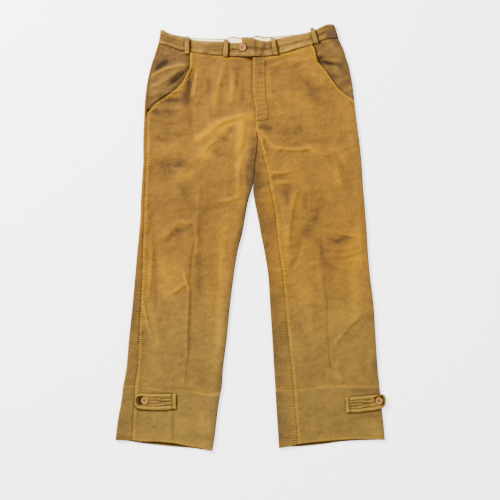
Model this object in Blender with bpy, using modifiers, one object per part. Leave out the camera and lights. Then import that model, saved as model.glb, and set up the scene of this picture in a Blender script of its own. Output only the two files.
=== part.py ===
# Hunting trousers of heavy brushed cotton, laid flat on the back with the front up.
# +Z is up and +Y runs from the hems to the waist. Tables and sizes are in millimetres.
# Left and right are the wearer's, so the right leg lies on the -X side.
import math
from collections import namedtuple

import bmesh
import bpy
from mathutils import Vector

MM = 0.001

# Walls of cloth
CLOTH = 1.6
BAND_CLOTH = 2.4
LINING = 1.0
STRIP_CLOTH = 1.8
TAB_CLOTH = 2.6

# Gaps: at a seam, between a piece and what it lies on, and at the inseam near the fork
SEAM_GAP = 0.3
HALF_GAP = SEAM_GAP / 2
LYING_GAP = 0.4
FORK_GAP = 1.6
FORK_REACH = 60.0

# Heights along the garment of its four main lines
WAIST = 433.0
FORK = 258.0
BAND_SEAM = -364.0
HEM = -490.0

# How far from each line its curve still bends the cloth beside it
WAIST_REACH = 140.0
BAND_REACH = 80.0
BAND_DEPTH = 36.0

# The folds along the sides, and the columns of cloth beside them
FOLD_TURN = 22.0
FOLD_FALL = 26.0
COLUMN_STEP = 0.7
FOLD_MARGIN = 7.0
QUARTER = math.pi / 2

# How each crease runs out past its ends, how far it stays off the side folds, and its limits
CREASE_PAST = 0.2
CREASE_TAPER = 0.35
CREASE_MARGIN = 20.0
CREASE_IN_BAND = 0.4
CREASE_LOWEST = -1.0
CREASE_HIGHEST = 2.4

# Pocket bearers: how far they run on beneath the front's edge, and how they step down to it
POCKET_LAP = 12.0
POCKET_DROP = 2.5
POCKET_STEP = 9.0
POCKET_EASE = 14.0
BEARER_FOOT = 12.0

# Waistband: its columns beside the side fold, the right half's end, and the left half's
# extension, which rises over the right half
BAND_STEP = 8.0
UNDERLAP_STOP = 4.0
EXTENSION_START = 24.0
EXTENSION_RAMP = 14.0
EXTENSION_END = -26.0
LINING_TOP = 1.5
LINING_FOOT = 6.0
LINING_SIDE = 26.0
LINING_CENTRE = 1.0

# Loops, fly strip, ankle tabs, patch and buttons
LOOP_WIDTH = 12.0
LOOP_BULGE = 1.6
LOOP_EDGE_DROP = 0.25
PLACKET_WIDTH = 29.0
PLACKET_FOOT = 280.0
PLACKET_CURVE = 25.0
PLACKET_BLUNT = 0.96
TAB_ROW = BAND_SEAM - 26
TAB_CORNER = 13.0
TAB_TURN = math.radians(80)
PATCH_START = 0.6
PATCH_RISE = 0.8
BUTTON_DIAMETER = 16.5
BUTTON_THICKNESS = 3.2
BUTTON_HOLE = 2.0
BUTTON_HOLE_SPACING = 4.6

Section = namedtuple("Section", "y outer inner outseam inseam")
Lie = namedtuple("Lie", "y middle radius")
Mark = namedtuple("Mark", "x y")
Fold = namedtuple("Fold", "x0 y0 x1 y1 bow width height")
Strip = namedtuple("Strip", "x_top y_top x_foot y_foot")
Tab = namedtuple("Tab", "sewn tip top_sewn top_tip low_sewn low_tip button")
Patch = namedtuple("Patch", "x top foot")
Leg = namedtuple("Leg", "name side sections back_waist mouth mouth_foot mouth_turn foot_rows")
Cut = namedtuple("Cut", "row outer inner inward radius middle turn side_rise quarter length")
Ring = namedtuple("Ring", "reach height")

# Outline of each leg. outer and inner are the x of its two side folds, and inner is the centre
# line above the fork. outseam and inseam are the lengths round from each fold to its seam, over
# the top, or beneath where they are negative.
RIGHT_SECTIONS = [
    Section(512, -214, 4, 8, 0),
    Section(484, -218, 5, 8, 0),
    Section(464, -222, 5, 8, 0),
    Section(433, -232, 6, 8, 0),
    Section(412, -239, 6, 9, 0),
    Section(373, -248, 6, 8, 0),
    Section(335, -253, 8, 8, 0),
    Section(306, -255, 13, 9, 0),
    Section(258, -257, 14, 10, 0),
    Section(229, -258, 18, 10, -13),
    Section(181, -258, 11.5, 10, -13),
    Section(150, -260, 10, 10, -13),
    Section(133, -261, 7, 10, -13),
    Section(116, -262, 3, 11, -13),
    Section(85, -264, -6, 11, -13),
    Section(47, -265, -13, 12, -13),
    Section(8, -268, -20, 13, -13),
    Section(-30, -272, -30, 15, -13),
    Section(-88, -277, -39.5, 19, -13),
    Section(-164, -284, -49, 22, -13),
    Section(-241, -292, -56.5, 26, -13),
    Section(-318, -299, -66, 29, -13),
    Section(-356, -306, -68.5, 30, -13),
    Section(-395, -311, -75.5, 33, -13),
    Section(-433, -318, -80.5, 37, -13),
    Section(-472, -323, -85, 41, -13),
    Section(-512, -326, -91, 44, -13),
]
LEFT_SECTIONS = [
    Section(512, 201, 4, -13, 0),
    Section(491, 208, 5, -13, 0),
    Section(474, 213, 5, -13, 0),
    Section(450, 224, 6, -13, 0),
    Section(433, 229, 6, -13, 0),
    Section(412, 236, 6, -13, 0),
    Section(373, 244, 6, -13, 0),
    Section(335, 249, 8, -13, 0),
    Section(306, 252, 13, -13, 0),
    Section(258, 258, 14, -13, 0),
    Section(229, 262, 18, -13, 6),
    Section(181, 267, 11.5, -13, 25),
    Section(150, 269, 10, -13, 35),
    Section(133, 270, 7, -13, 40),
    Section(116, 271, 6, -13, 44),
    Section(85, 274, 10, -13, 46),
    Section(47, 277, 18, -13, 44),
    Section(8, 280, 25, -13, 41),
    Section(-30, 282, 32.5, -13, 38),
    Section(-88, 287, 42, -13, 37),
    Section(-164, 296, 47, -13, 39),
    Section(-241, 301, 52, -13, 41),
    Section(-318, 306, 56.5, -13, 45),
    Section(-356, 310, 59, -13, 46),
    Section(-395, 314, 61, -13, 47),
    Section(-433, 318, 63.5, -13, 47),
    Section(-472, 322, 66, -13, 48),
    Section(-512, 324, 68.5, -13, 48),
]

# Height of the two layers in the middle, and radius of the side folds
LIES = [
    Lie(512, 7.0, 3.9),
    Lie(433, 7.0, 3.9),
    Lie(392, 6.7, 3.8),
    Lie(320, 6.3, 3.8),
    Lie(258, 5.8, 3.7),
    Lie(116, 5.2, 3.6),
    Lie(-356, 4.9, 3.5),
    Lie(-512, 5.0, 3.5),
]

# Lower edge of the waistband, and its upper edges at the front and at the back
WAIST_SEAM = [
    Mark(-217, 464), Mark(-193, 458), Mark(-169, 449), Mark(-145, 445), Mark(-121, 441),
    Mark(-85, 437), Mark(-25, 433), Mark(35, 434), Mark(71, 440), Mark(95, 446),
    Mark(119, 454), Mark(150, 463), Mark(179, 475), Mark(210, 479),
]
RIGHT_BACK_WAIST = [Mark(-222, 464), Mark(5, 433)]
LEFT_BACK_WAIST = [Mark(5, 433), Mark(214, 479)]
FRONT_TOP = [
    Mark(-217, 499), Mark(-210, 498), Mark(-197, 491), Mark(-181, 486), Mark(-160, 482),
    Mark(-143, 475), Mark(-109, 471), Mark(-68, 470), Mark(-26, 480), Mark(-5, 480),
    Mark(11, 476), Mark(28, 472), Mark(47, 472), Mark(64, 477), Mark(107, 485),
    Mark(140, 492), Mark(157, 499), Mark(179, 510), Mark(191, 512), Mark(201, 511),
]
RIGHT_FRONT_TOP = FRONT_TOP[:8] + [Mark(-50, 467), Mark(-26, 467), Mark(5, 468)]
BACK_TOP = [
    Mark(-217, 499), Mark(-210, 498), Mark(-197, 491), Mark(-181, 487), Mark(-143, 480),
    Mark(-61, 478), Mark(-42, 483), Mark(-25, 480), Mark(5, 482), Mark(15, 485),
    Mark(35, 482), Mark(83, 485), Mark(124, 490), Mark(157, 499), Mark(179, 510),
    Mark(191, 512), Mark(201, 511),
]

# Seam above each hem band, and the hem's own edges at the front and at the back
BAND_LINE = [
    Mark(-301, -356), Mark(-268, -356), Mark(-241, -361), Mark(-208, -365), Mark(-174, -364),
    Mark(-143, -368), Mark(-102, -376), Mark(-76, -375), Mark(64, -365), Mark(119, -364),
    Mark(151, -359), Mark(205, -357), Mark(304, -355),
]
FRONT_HEM = [
    Mark(-323, -487), Mark(-294, -486), Mark(-265, -490), Mark(-222, -491), Mark(-182, -495),
    Mark(-148, -502), Mark(-122, -506), Mark(-100, -511.5), Mark(-91, -512), Mark(68, -506),
    Mark(94, -500), Mark(126, -495), Mark(173, -490), Mark(236, -485), Mark(280, -485),
    Mark(322, -486),
]
BACK_HEM = [
    Mark(-323, -487), Mark(-294, -489), Mark(-265, -494), Mark(-222, -499), Mark(-182, -503),
    Mark(-143, -506), Mark(-100, -511.5), Mark(-91, -512), Mark(68, -506), Mark(94, -503),
    Mark(121, -502), Mark(173, -497), Mark(215, -491), Mark(258, -488), Mark(322, -486),
]

RIGHT_MOUTH = [
    Mark(-145, 460), Mark(-145, 426), Mark(-145, 409), Mark(-150, 397), Mark(-157, 383),
    Mark(-164, 371), Mark(-174, 359), Mark(-188, 347), Mark(-205, 336), Mark(-217, 329),
    Mark(-229, 319), Mark(-241, 306), Mark(-248, 296),
]
LEFT_MOUTH = [
    Mark(147, 464), Mark(155, 450), Mark(157, 438), Mark(160, 430), Mark(167, 416),
    Mark(179, 402), Mark(191, 385), Mark(203, 368), Mark(215, 354), Mark(227, 344),
    Mark(239, 334), Mark(246, 324),
]

# The largest creases of the cloth on top: a line with a bow, its half width and its height
FOLDS = [
    Fold(-8, 290, -121, 234, 6, 11, 2.0),
    Fold(-8, 286, -26, 97, -8, 10, 1.8),
    Fold(-85, 227, -169, 143, 5, 11, 1.7),
    Fold(-230, 182, -157, 160, 0, 15, -0.8),
    Fold(-75, 232, -38, 226, 0, 10, -0.8),
    Fold(-85, 198, -38, 190, 0, 11, -0.8),
    Fold(-85, 85, -25, 97, 0, 10, 0.9),
    Fold(-68, 380, -85, 306, 0, 12, 1.3),
    Fold(-34, 372, -38, 322, 0, 10, 1.2),
    Fold(-98, 378, -97, 340, 0, 10, -0.6),
    Fold(-50, 410, -48, 350, 0, 9, -0.8),
    Fold(-195, -8, -130, 18, 6, 10, -0.8),
    Fold(-121, 114, -157, -354, 8, 12, 1.2),
    Fold(-162, -70, -140, -126, 0, 10, 1.1),
    Fold(-190, -135, -155, -108, 0, 10, 0.9),
    Fold(-247, 0, -236, -222, -4, 11, 1.4),
    Fold(-229, -30, -229, -174, 0, 9, -0.8),
    Fold(-150, 400, -152, 325, 4, 9, -0.4),
    Fold(-217, 326, -150, 316, 0, 10, -0.7),
    Fold(-242, 292, -174, 274, 0, 10, 1.0),
    Fold(13, 256, 71, 214, -6, 10, 1.7),
    Fold(71, 214, 180, 216, 4, 10, 1.2),
    Fold(55, 250, 122, 244, 0, 13, -0.8),
    Fold(140, 228, 182, 226, 0, 11, -0.7),
    Fold(112, 114, 90, -18, 4, 12, 1.5),
    Fold(138, 108, 138, 70, 0, 10, -0.7),
    Fold(162, 59, 100, -114, -12, 11, -0.8),
    Fold(191, 186, 215, 121, 0, 10, -0.7),
    Fold(160, 8, 232, 12, 3, 10, 1.1),
    Fold(184, -47, 242, -38, 3, 10, 1.1),
    Fold(212, -15, 246, 0, 0, 9, -0.7),
    Fold(172, 6, 196, -337, 5, 11, 1.0),
    Fold(239, -222, 210, -262, 0, 10, -0.7),
    Fold(227, -170, 176, -262, 0, 11, 1.2),
    Fold(30, 421, 118, 441, -4, 10, 1.0),
]

LOOPS = [
    Strip(-152, 482, -152, 440),
    Strip(-58, 474, -60, 432),
    Strip(53, 478, 61, 437),
    Strip(147, 503, 158, 464),
]

TABS = {
    "right": Tab(-178, -277, -374, -373, -411, -411, Mark(-254, -391)),
    "left": Tab(228, 325, -383, -374, -421, -409, Mark(308, -391)),
}
WAIST_BUTTON = Mark(-19, 455)
PATCH = Patch(182, 497, 481)

# Half section of a button, as shares of its radius and its thickness: face, rim, edge, back
BUTTON_RINGS = [
    Ring(0, 0.62), Ring(0.55, 0.62), Ring(0.72, 0.96), Ring(0.88, 1.0),
    Ring(1.0, 0.66), Ring(0.96, 0.22), Ring(0.7, 0), Ring(0, 0),
]

# Rows along the trunk and legs: closest by the fork, where four panels turn down together
ROW_ENDS = [WAIST, 336, 308, FORK, 226, 110, BAND_SEAM]
ROW_STEPS = [8, 3, 4, 4, 5, 14]
ROW_MARGIN = 1.5

# Colours are linear RGB
MOLESKIN = (0.34, 0.205, 0.052)
MOLESKIN_BROWN = (0.27, 0.15, 0.045)
MOLESKIN_OLIVE = (0.31, 0.215, 0.055)
CREAM = (0.80, 0.72, 0.56)
BUTTON_TAN = (0.52, 0.27, 0.17)
PATCH_BROWN = (0.10, 0.05, 0.04)


def blend(a, b, share):
    return a + (b - a) * share


def smooth(share):
    share = min(1.0, max(0.0, share))
    return share * share * (3 - 2 * share)


# The value at one place of a table whose rows run up or down, on a smooth curve through them
def along(table, key, place, column):
    rows = sorted(table, key=lambda row: getattr(row, key))
    keys = [getattr(row, key) for row in rows]
    values = [getattr(row, column) for row in rows]
    if place <= keys[0]:
        return values[0]
    if place >= keys[-1]:
        return values[-1]
    right = next(i for i, at in enumerate(keys) if at >= place)
    left = right - 1
    span = keys[right] - keys[left]
    share = (place - keys[left]) / span

    def slope(i):
        a, b = max(i - 1, 0), min(i + 1, len(keys) - 1)
        return (values[b] - values[a]) / (keys[b] - keys[a])

    rise = values[right] - values[left]
    bend = (slope(left) * span - rise) * (1 - share) - (slope(right) * span - rise) * share
    return values[left] + rise * share + bend * share * (1 - share)


# How far the cloth at x lies above or below its row's own height: the rows follow the seams
def lifted(leg, row, x, under):
    seam = leg.back_waist if under else WAIST_SEAM
    if row >= WAIST:
        front = FRONT_TOP if leg.side > 0 else RIGHT_FRONT_TOP
        low = along(seam, "x", x, "y")
        high = along(BACK_TOP if under else front, "x", x, "y")
        return blend(low, high, (row - WAIST) / BAND_DEPTH)
    if row >= BAND_SEAM:
        waist = smooth((row - WAIST + WAIST_REACH) / WAIST_REACH)
        band = smooth((BAND_SEAM + BAND_REACH - row) / BAND_REACH)
        lift = (along(seam, "x", x, "y") - WAIST) * waist
        return row + lift + (along(BAND_LINE, "x", x, "y") - BAND_SEAM) * band
    share = (BAND_SEAM - row) / (BAND_SEAM - HEM)
    hem = along(BACK_HEM if under else FRONT_HEM, "x", x, "y")
    return blend(along(BAND_LINE, "x", x, "y"), hem, share)


# Where a row meets one of the leg's long lines, such as a side fold
def meeting(leg, row, line):
    x = line(row)
    for _ in range(6):
        x = line(lifted(leg, row, x, False))
    return x


# One section across a leg: its two side folds and the length of cloth between them
def cut(leg, row):
    outer = meeting(leg, row, lambda y: along(leg.sections, "y", y, "outer"))
    centre = meeting(leg, row, lambda y: along(leg.sections, "y", y, "inner"))
    inner = centre + leg.side * HALF_GAP
    inward = -leg.side
    radius = along(LIES, "y", row, "radius")
    middle = along(LIES, "y", row, "middle")
    turn = smooth((FORK - row) / FOLD_TURN)
    side_rise = blend(middle / 2, radius, turn)
    flat = abs(inner - outer) - radius - radius * turn
    length = flat + QUARTER * radius * (1 + turn)
    quarter = QUARTER * radius
    return Cut(row, outer, inner, inward, radius, middle, turn, side_rise, quarter, length)


def crease_height(x, y):
    height = 0.0
    for fold in FOLDS:
        dx, dy = fold.x1 - fold.x0, fold.y1 - fold.y0
        span = math.hypot(dx, dy)
        share = ((x - fold.x0) * dx + (y - fold.y0) * dy) / span**2
        if not -CREASE_PAST < share < 1 + CREASE_PAST:
            continue
        off = ((x - fold.x0) * dy - (y - fold.y0) * dx) / span
        off -= 4 * fold.bow * share * (1 - share)
        ends = smooth((share + CREASE_PAST) / CREASE_TAPER)
        ends *= smooth((1 + CREASE_PAST - share) / CREASE_TAPER)
        height += fold.height * ends * math.exp(-((off / fold.width) ** 2))
    return max(CREASE_LOWEST, min(CREASE_HIGHEST, height))


# Height of the outer face at a point on top: the middle, the rise to each side fold, the creases
def top_height(section, x, y):
    from_outer = abs(x - section.outer)
    from_inner = abs(x - section.inner)
    past_outer = smooth((from_outer - section.radius) / FOLD_FALL)
    past_inner = smooth((from_inner - section.radius * section.turn) / FOLD_FALL)
    height = section.middle
    height += (2 * section.radius - section.middle) * (1 - past_outer)
    height += (2 * section.side_rise - section.middle) * (1 - past_inner)
    if section.row > WAIST - LINING:
        return height
    share = smooth(from_outer / CREASE_MARGIN)
    share *= blend(1, smooth(from_inner / CREASE_MARGIN), section.turn)
    if section.row < BAND_SEAM + LINING:
        share *= CREASE_IN_BAND
    return height + share * crease_height(x, y)


# The outer face at a length round the leg from its outer fold: over the top, round the inner
# fold and back beneath. drop moves the face in.
def on_leg(leg, section, place, drop=0.0):
    inner_quarter = section.quarter * section.turn
    if place < -section.quarter:
        place += 2 * section.length
    if place <= section.quarter:
        angle = place / section.radius
        reach = section.radius - drop
        x = section.outer + section.inward * (section.radius - reach * math.cos(angle))
        z = section.radius + reach * math.sin(angle)
        return x, lifted(leg, section.row, x, place < 0), z
    if place <= section.length - inner_quarter:
        x = section.outer + section.inward * (section.radius + place - section.quarter)
        y = lifted(leg, section.row, x, False)
        return x, y, top_height(section, x, y) - drop
    if place < section.length + inner_quarter:
        angle = (section.length - place) / inner_quarter * QUARTER
        reach = section.radius * section.turn
        x = section.inner - section.inward * reach * (1 - math.cos(angle))
        z = section.side_rise * (1 + math.sin(angle))
        return x, lifted(leg, section.row, x, place > section.length), z
    past = place - section.length - inner_quarter
    reach = section.radius * section.turn
    x = section.inner - section.inward * (reach + past)
    if place > 2 * section.length - section.quarter:
        return on_leg(leg, section, place - 2 * section.length, drop)
    return x, lifted(leg, section.row, x, True), drop


def spaced(first, last, count):
    return [blend(first, last, i / (count - 1)) for i in range(count)]


# Places round a side fold: its two tangents and three between them
def round_fold(centre, quarter):
    return spaced(centre - quarter, centre + quarter, 5)


# Columns of a panel: through the fold at its head, across, through the fold at its tail. Where
# an end stops short of a fold, that fold's columns lie close together beside the end.
def columns(start, stop, head, across, tail):
    count = len(head) + across + len(tail) + 1
    first = start + (len(head) + 1) * COLUMN_STEP
    last = stop - (len(tail) + 1) * COLUMN_STEP
    if head:
        first = max(first, head[-1] + FOLD_MARGIN)
    if tail:
        last = min(last, tail[0] - FOLD_MARGIN)
    places = [start, *head, *spaced(first, last, across), *tail, stop]
    step = min(COLUMN_STEP, (stop - start) / count)
    for i, place in enumerate(places):
        places[i] = max(place, start + i * step)
    for i, place in enumerate(places):
        places[i] = min(places[i], stop - (count - i) * step)
    return places


def rows_between(high, low, more=()):
    rows = list(more)
    for upper, lower, steps in zip(ROW_ENDS, ROW_ENDS[1:], ROW_STEPS):
        rows += spaced(upper, lower, steps + 1)[:-1]
    rows = [row for row in rows if low + ROW_MARGIN < row < high - ROW_MARGIN]
    apart = [high]
    for row in sorted(rows, reverse=True):
        if apart[-1] - row > ROW_MARGIN:
            apart.append(row)
    return [*apart, low]


def material(name, color, roughness, metallic=0.0):
    made = bpy.data.materials.new(name)
    made.use_nodes = True
    shader = made.node_tree.nodes["Principled BSDF"]
    shader.inputs["Base Color"].default_value = (*color, 1.0)
    shader.inputs["Roughness"].default_value = roughness
    shader.inputs["Metallic"].default_value = metallic
    made.diffuse_color = (*color, 1.0)
    return made


def add_object(name, mesh, finish, collection):
    mesh.materials.append(finish)
    obj = bpy.data.objects.new(name, mesh)
    collection.objects.link(obj)
    return obj


# A wall of cloth from a grid of points on one of its faces
def cloth(name, grid, wall, outward, mirrored, finish, collection):
    across = len(grid[0])
    points = [tuple(value * MM for value in point) for line in grid for point in line]
    faces = []
    for i in range(len(grid) - 1):
        for j in range(across - 1):
            a = i * across + j
            face = (a, a + across, a + across + 1, a + 1)
            faces.append(face[::-1] if mirrored else face)
    mesh = bpy.data.meshes.new(name)
    mesh.from_pydata(points, [], faces)
    mesh.shade_smooth()
    obj = add_object(name, mesh, finish, collection)
    shell = obj.modifiers.new("Cloth", "SOLIDIFY")
    shell.thickness = wall * MM
    shell.offset = 1.0 if outward else -1.0
    return obj


# A panel round part of a leg: ends gives each row's start, stop and drop
def leg_panel(name, leg, rows, ends, head, across, tail, finish, collection):
    grid = []
    for row in rows:
        section = cut(leg, row)
        start, stop, drop = ends(section)
        quarter = section.quarter
        inner_quarter = quarter * section.turn
        folds = {
            "outer": round_fold(0, quarter),
            "outer_again": round_fold(2 * section.length, quarter),
            "inner": round_fold(section.length, inner_quarter),
            None: [],
        }
        places = columns(start, stop, folds[head], across, folds[tail])
        grid.append([on_leg(leg, section, place, drop(place)) for place in places])
    return cloth(name, grid, CLOTH, False, leg.side > 0, finish, collection)


def no_drop(place):
    return 0.0


def outseam_place(leg, section):
    return along(leg.sections, "y", section.row, "outseam")


def inseam_place(leg, section):
    return section.length - section.turn * along(leg.sections, "y", section.row, "inseam")


# Gap at the inseam, a little wider where the four panels turn down together at the fork
def inseam_gap(section):
    below = min(1.0, max(0.0, (FORK - section.row) / FORK_REACH))
    return HALF_GAP + FORK_GAP / 2 * math.sin(math.pi * below)


# Length round from the outer fold to the front's edge: along the pocket mouth, then the outseam
def front_edge(leg, section):
    x = meeting(leg, section.row, lambda y: along(leg.mouth, "y", y, "x"))
    from_fold = max(abs(x - section.outer), section.radius)
    mouth = from_fold - section.radius + section.quarter
    share = smooth((section.row - leg.mouth_foot) / leg.mouth_turn)
    return blend(outseam_place(leg, section), mouth, share)


def front_ends(leg):
    def ends(section):
        start = front_edge(leg, section) + HALF_GAP
        return start, inseam_place(leg, section) - inseam_gap(section), no_drop

    return ends


def back_ends(leg):
    def ends(section):
        start = inseam_place(leg, section) + inseam_gap(section)
        stop = 2 * section.length + outseam_place(leg, section) - HALF_GAP
        return start, stop, no_drop

    return ends


# The bearer shows between the outseam and the pocket mouth and runs on beneath the front's edge
def bearer_ends(leg):
    def ends(section):
        edge = front_edge(leg, section)
        above = section.row - leg.mouth_foot - leg.mouth_turn
        under = POCKET_DROP * smooth(above / POCKET_EASE)
        lap = POCKET_LAP * smooth(above / POCKET_EASE - 1)

        def drop(place):
            return under * smooth((place - edge + POCKET_LAP) / POCKET_STEP)

        start = outseam_place(leg, section) + HALF_GAP
        return start, edge - SEAM_GAP + lap, drop

    return ends


def band_rows():
    return spaced(WAIST + BAND_DEPTH, WAIST + SEAM_GAP, 5)


# One half of the waistband: from the centre back beneath, round the side, to the centre front.
# The left half rises over the right one and runs on as the extension.
def waistband(leg, finish, collection):
    grid = []
    for row in band_rows():
        section = cut(leg, row)
        back = HALF_GAP - section.length
        front = section.length - (EXTENSION_START if leg.side > 0 else UNDERLAP_STOP)
        places = spaced(back, -section.quarter - BAND_STEP, 6)
        places += round_fold(0, section.quarter)
        places += spaced(section.quarter + BAND_STEP, front, 11)
        line = [on_leg(leg, section, place) for place in places]
        if leg.side > 0:
            for x in spaced(EXTENSION_START, EXTENSION_END, 9):
                rise = (BAND_CLOTH + SEAM_GAP) * smooth((EXTENSION_START - x) / EXTENSION_RAMP)
                line.append((x, lifted(leg, row, x, False), section.middle + rise))
        grid.append(line)
    name = "waistband_" + leg.name
    return cloth(name, grid, BAND_CLOTH, False, leg.side > 0, finish, collection)


# The cream cloth inside the back of the waistband, which shows above the front's lower edge
def waistband_lining(leg, finish, collection):
    height = BAND_CLOTH + SEAM_GAP + LINING
    grid = []
    for row in spaced(WAIST + BAND_DEPTH - LINING_TOP, WAIST + LINING_FOOT, 3):
        section = cut(leg, row)
        side = section.length - 2 * section.quarter - LINING_SIDE
        line = []
        for across in spaced(side, LINING_CENTRE, 14):
            x = section.inner - section.inward * across
            line.append((x, lifted(leg, row, x, True), height))
        grid.append(line)
    name = "waistband_lining_" + leg.name
    return cloth(name, grid, LINING, False, leg.side > 0, finish, collection)


# Height of the finished surface under a strip, tab or button that lies on the garment
def surface(leg, row, x):
    section = cut(leg, row)
    reach = section.radius
    held = max(abs(x - section.outer), reach)
    x = section.outer + section.inward * held
    return top_height(section, x, lifted(leg, row, x, False))


def belt_loop(number, strip, legs, finish, collection):
    leg = legs["left" if strip.x_top > 0 else "right"]
    grid = []
    for share in spaced(0, 1, 7):
        x = blend(strip.x_top, strip.x_foot, share)
        y = blend(strip.y_top, strip.y_foot, share)
        swell = math.sin(math.pi * share)
        height = surface(leg, WAIST, x) + SEAM_GAP + LOOP_BULGE * (1 - (1 - swell) ** 2)
        edge = height - LOOP_EDGE_DROP * swell
        half = LOOP_WIDTH / 2
        grid.append([(x - half, y, edge), (x, y, height), (x + half, y, edge)])
    name = f"belt_loop_{number}"
    return cloth(name, grid, STRIP_CLOTH, True, False, finish, collection)


# The doubled edge of the left front: a strip along the fly that ends in the foot of the J
def fly_placket(leg, finish, collection):
    grid = []
    for row in spaced(WAIST - CLOTH, PLACKET_FOOT, 11):
        section = cut(leg, row)
        turned = max(0.0, 1 - (row - PLACKET_FOOT) / PLACKET_CURVE) * PLACKET_BLUNT
        width = PLACKET_WIDTH * math.sqrt(1 - turned**2)
        line = []
        for across in spaced(SEAM_GAP, width, 4):
            x = section.inner + across
            y = lifted(leg, row, x, False)
            line.append((x, y, top_height(section, x, y) + LYING_GAP))
        grid.append(line)
    return cloth("fly_placket", grid, CLOTH, True, False, finish, collection)


# A flat tab with one rounded end, laid on the cloth beneath it
def tab(name, leg, shape, finish, collection):
    toward = 1 if shape.tip > shape.sewn else -1
    stations = [(x, 0.0) for x in spaced(shape.sewn, shape.tip - toward * TAB_CORNER, 7)]
    for angle in spaced(TAB_TURN / 4, TAB_TURN, 4):
        x = shape.tip - toward * TAB_CORNER * (1 - math.sin(angle))
        stations.append((x, TAB_CORNER * (1 - math.cos(angle))))
    lines = []
    for x, inset in stations:
        share = (x - shape.sewn) / (shape.tip - shape.sewn)
        high = blend(shape.top_sewn, shape.top_tip, share) - inset
        low = blend(shape.low_sewn, shape.low_tip, share) + inset
        base = surface(leg, TAB_ROW, x) + LYING_GAP
        lines.append([(x, y, base) for y in spaced(high, low, 5)])
    grid = [list(line) for line in zip(*lines)]
    return cloth(name, grid, TAB_CLOTH, True, toward < 0, finish, collection)


# The brown patch over the left end of the waistband: over the top and down the side fold
def side_patch(leg, finish, collection):
    grid = []
    section = cut(leg, WAIST + BAND_DEPTH / 2)
    reach = abs(section.outer - PATCH.x) - section.radius + section.quarter
    for y in spaced(PATCH.top, PATCH.foot, 4):
        share = (y - lifted(leg, WAIST, PATCH.x, False)) / BAND_DEPTH
        section = cut(leg, WAIST + BAND_DEPTH * share)
        places = spaced(PATCH_START, section.quarter, 5)
        places += spaced(2 * section.quarter, reach, 4)
        line = []
        for place in places:
            x, _, z = on_leg(leg, section, place, -PATCH_RISE)
            line.append((x, y, z))
        grid.append(line)
    return cloth("side_patch", grid, LINING, True, True, finish, collection)


# A turned button with a raised rim and four holes, drilled through
def button(name, place, base, finish, collection, cutters):
    radius = BUTTON_DIAMETER / 2 * MM
    thickness = BUTTON_THICKNESS * MM
    mesh = bpy.data.meshes.new(name)
    points = [(ring.reach * radius, 0, ring.height * thickness) for ring in BUTTON_RINGS]
    mesh.from_pydata(points, [(i, i + 1) for i in range(len(points) - 1)], [])
    obj = add_object(name, mesh, finish, collection)
    obj.location = (place.x * MM, place.y * MM, base * MM)
    turn = obj.modifiers.new("Turn", "SCREW")
    turn.steps = turn.render_steps = 12
    turn.use_merge_vertices = True
    turn.merge_threshold = 0.00001
    turn.use_smooth_shade = True
    for i in range(4):
        bm = bmesh.new()
        bore = BUTTON_HOLE / 2 * MM
        bmesh.ops.create_cone(
            bm, cap_ends=True, segments=8, radius1=bore, radius2=bore, depth=3 * thickness
        )
        drill_mesh = bpy.data.meshes.new(f"{name}_drill_{i + 1}")
        bm.to_mesh(drill_mesh)
        bm.free()
        drill = bpy.data.objects.new(drill_mesh.name, drill_mesh)
        angle = QUARTER * (i + 0.5)
        reach = BUTTON_HOLE_SPACING / 2 * MM
        offset = Vector((reach * math.cos(angle), reach * math.sin(angle), thickness / 2))
        drill.location = obj.location + offset
        drill.hide_render = True
        drill.display_type = "WIRE"
        cutters.objects.link(drill)
        hole = obj.modifiers.new(f"Hole {i + 1}", "BOOLEAN")
        hole.operation = "DIFFERENCE"
        hole.object = drill
    return obj


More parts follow.
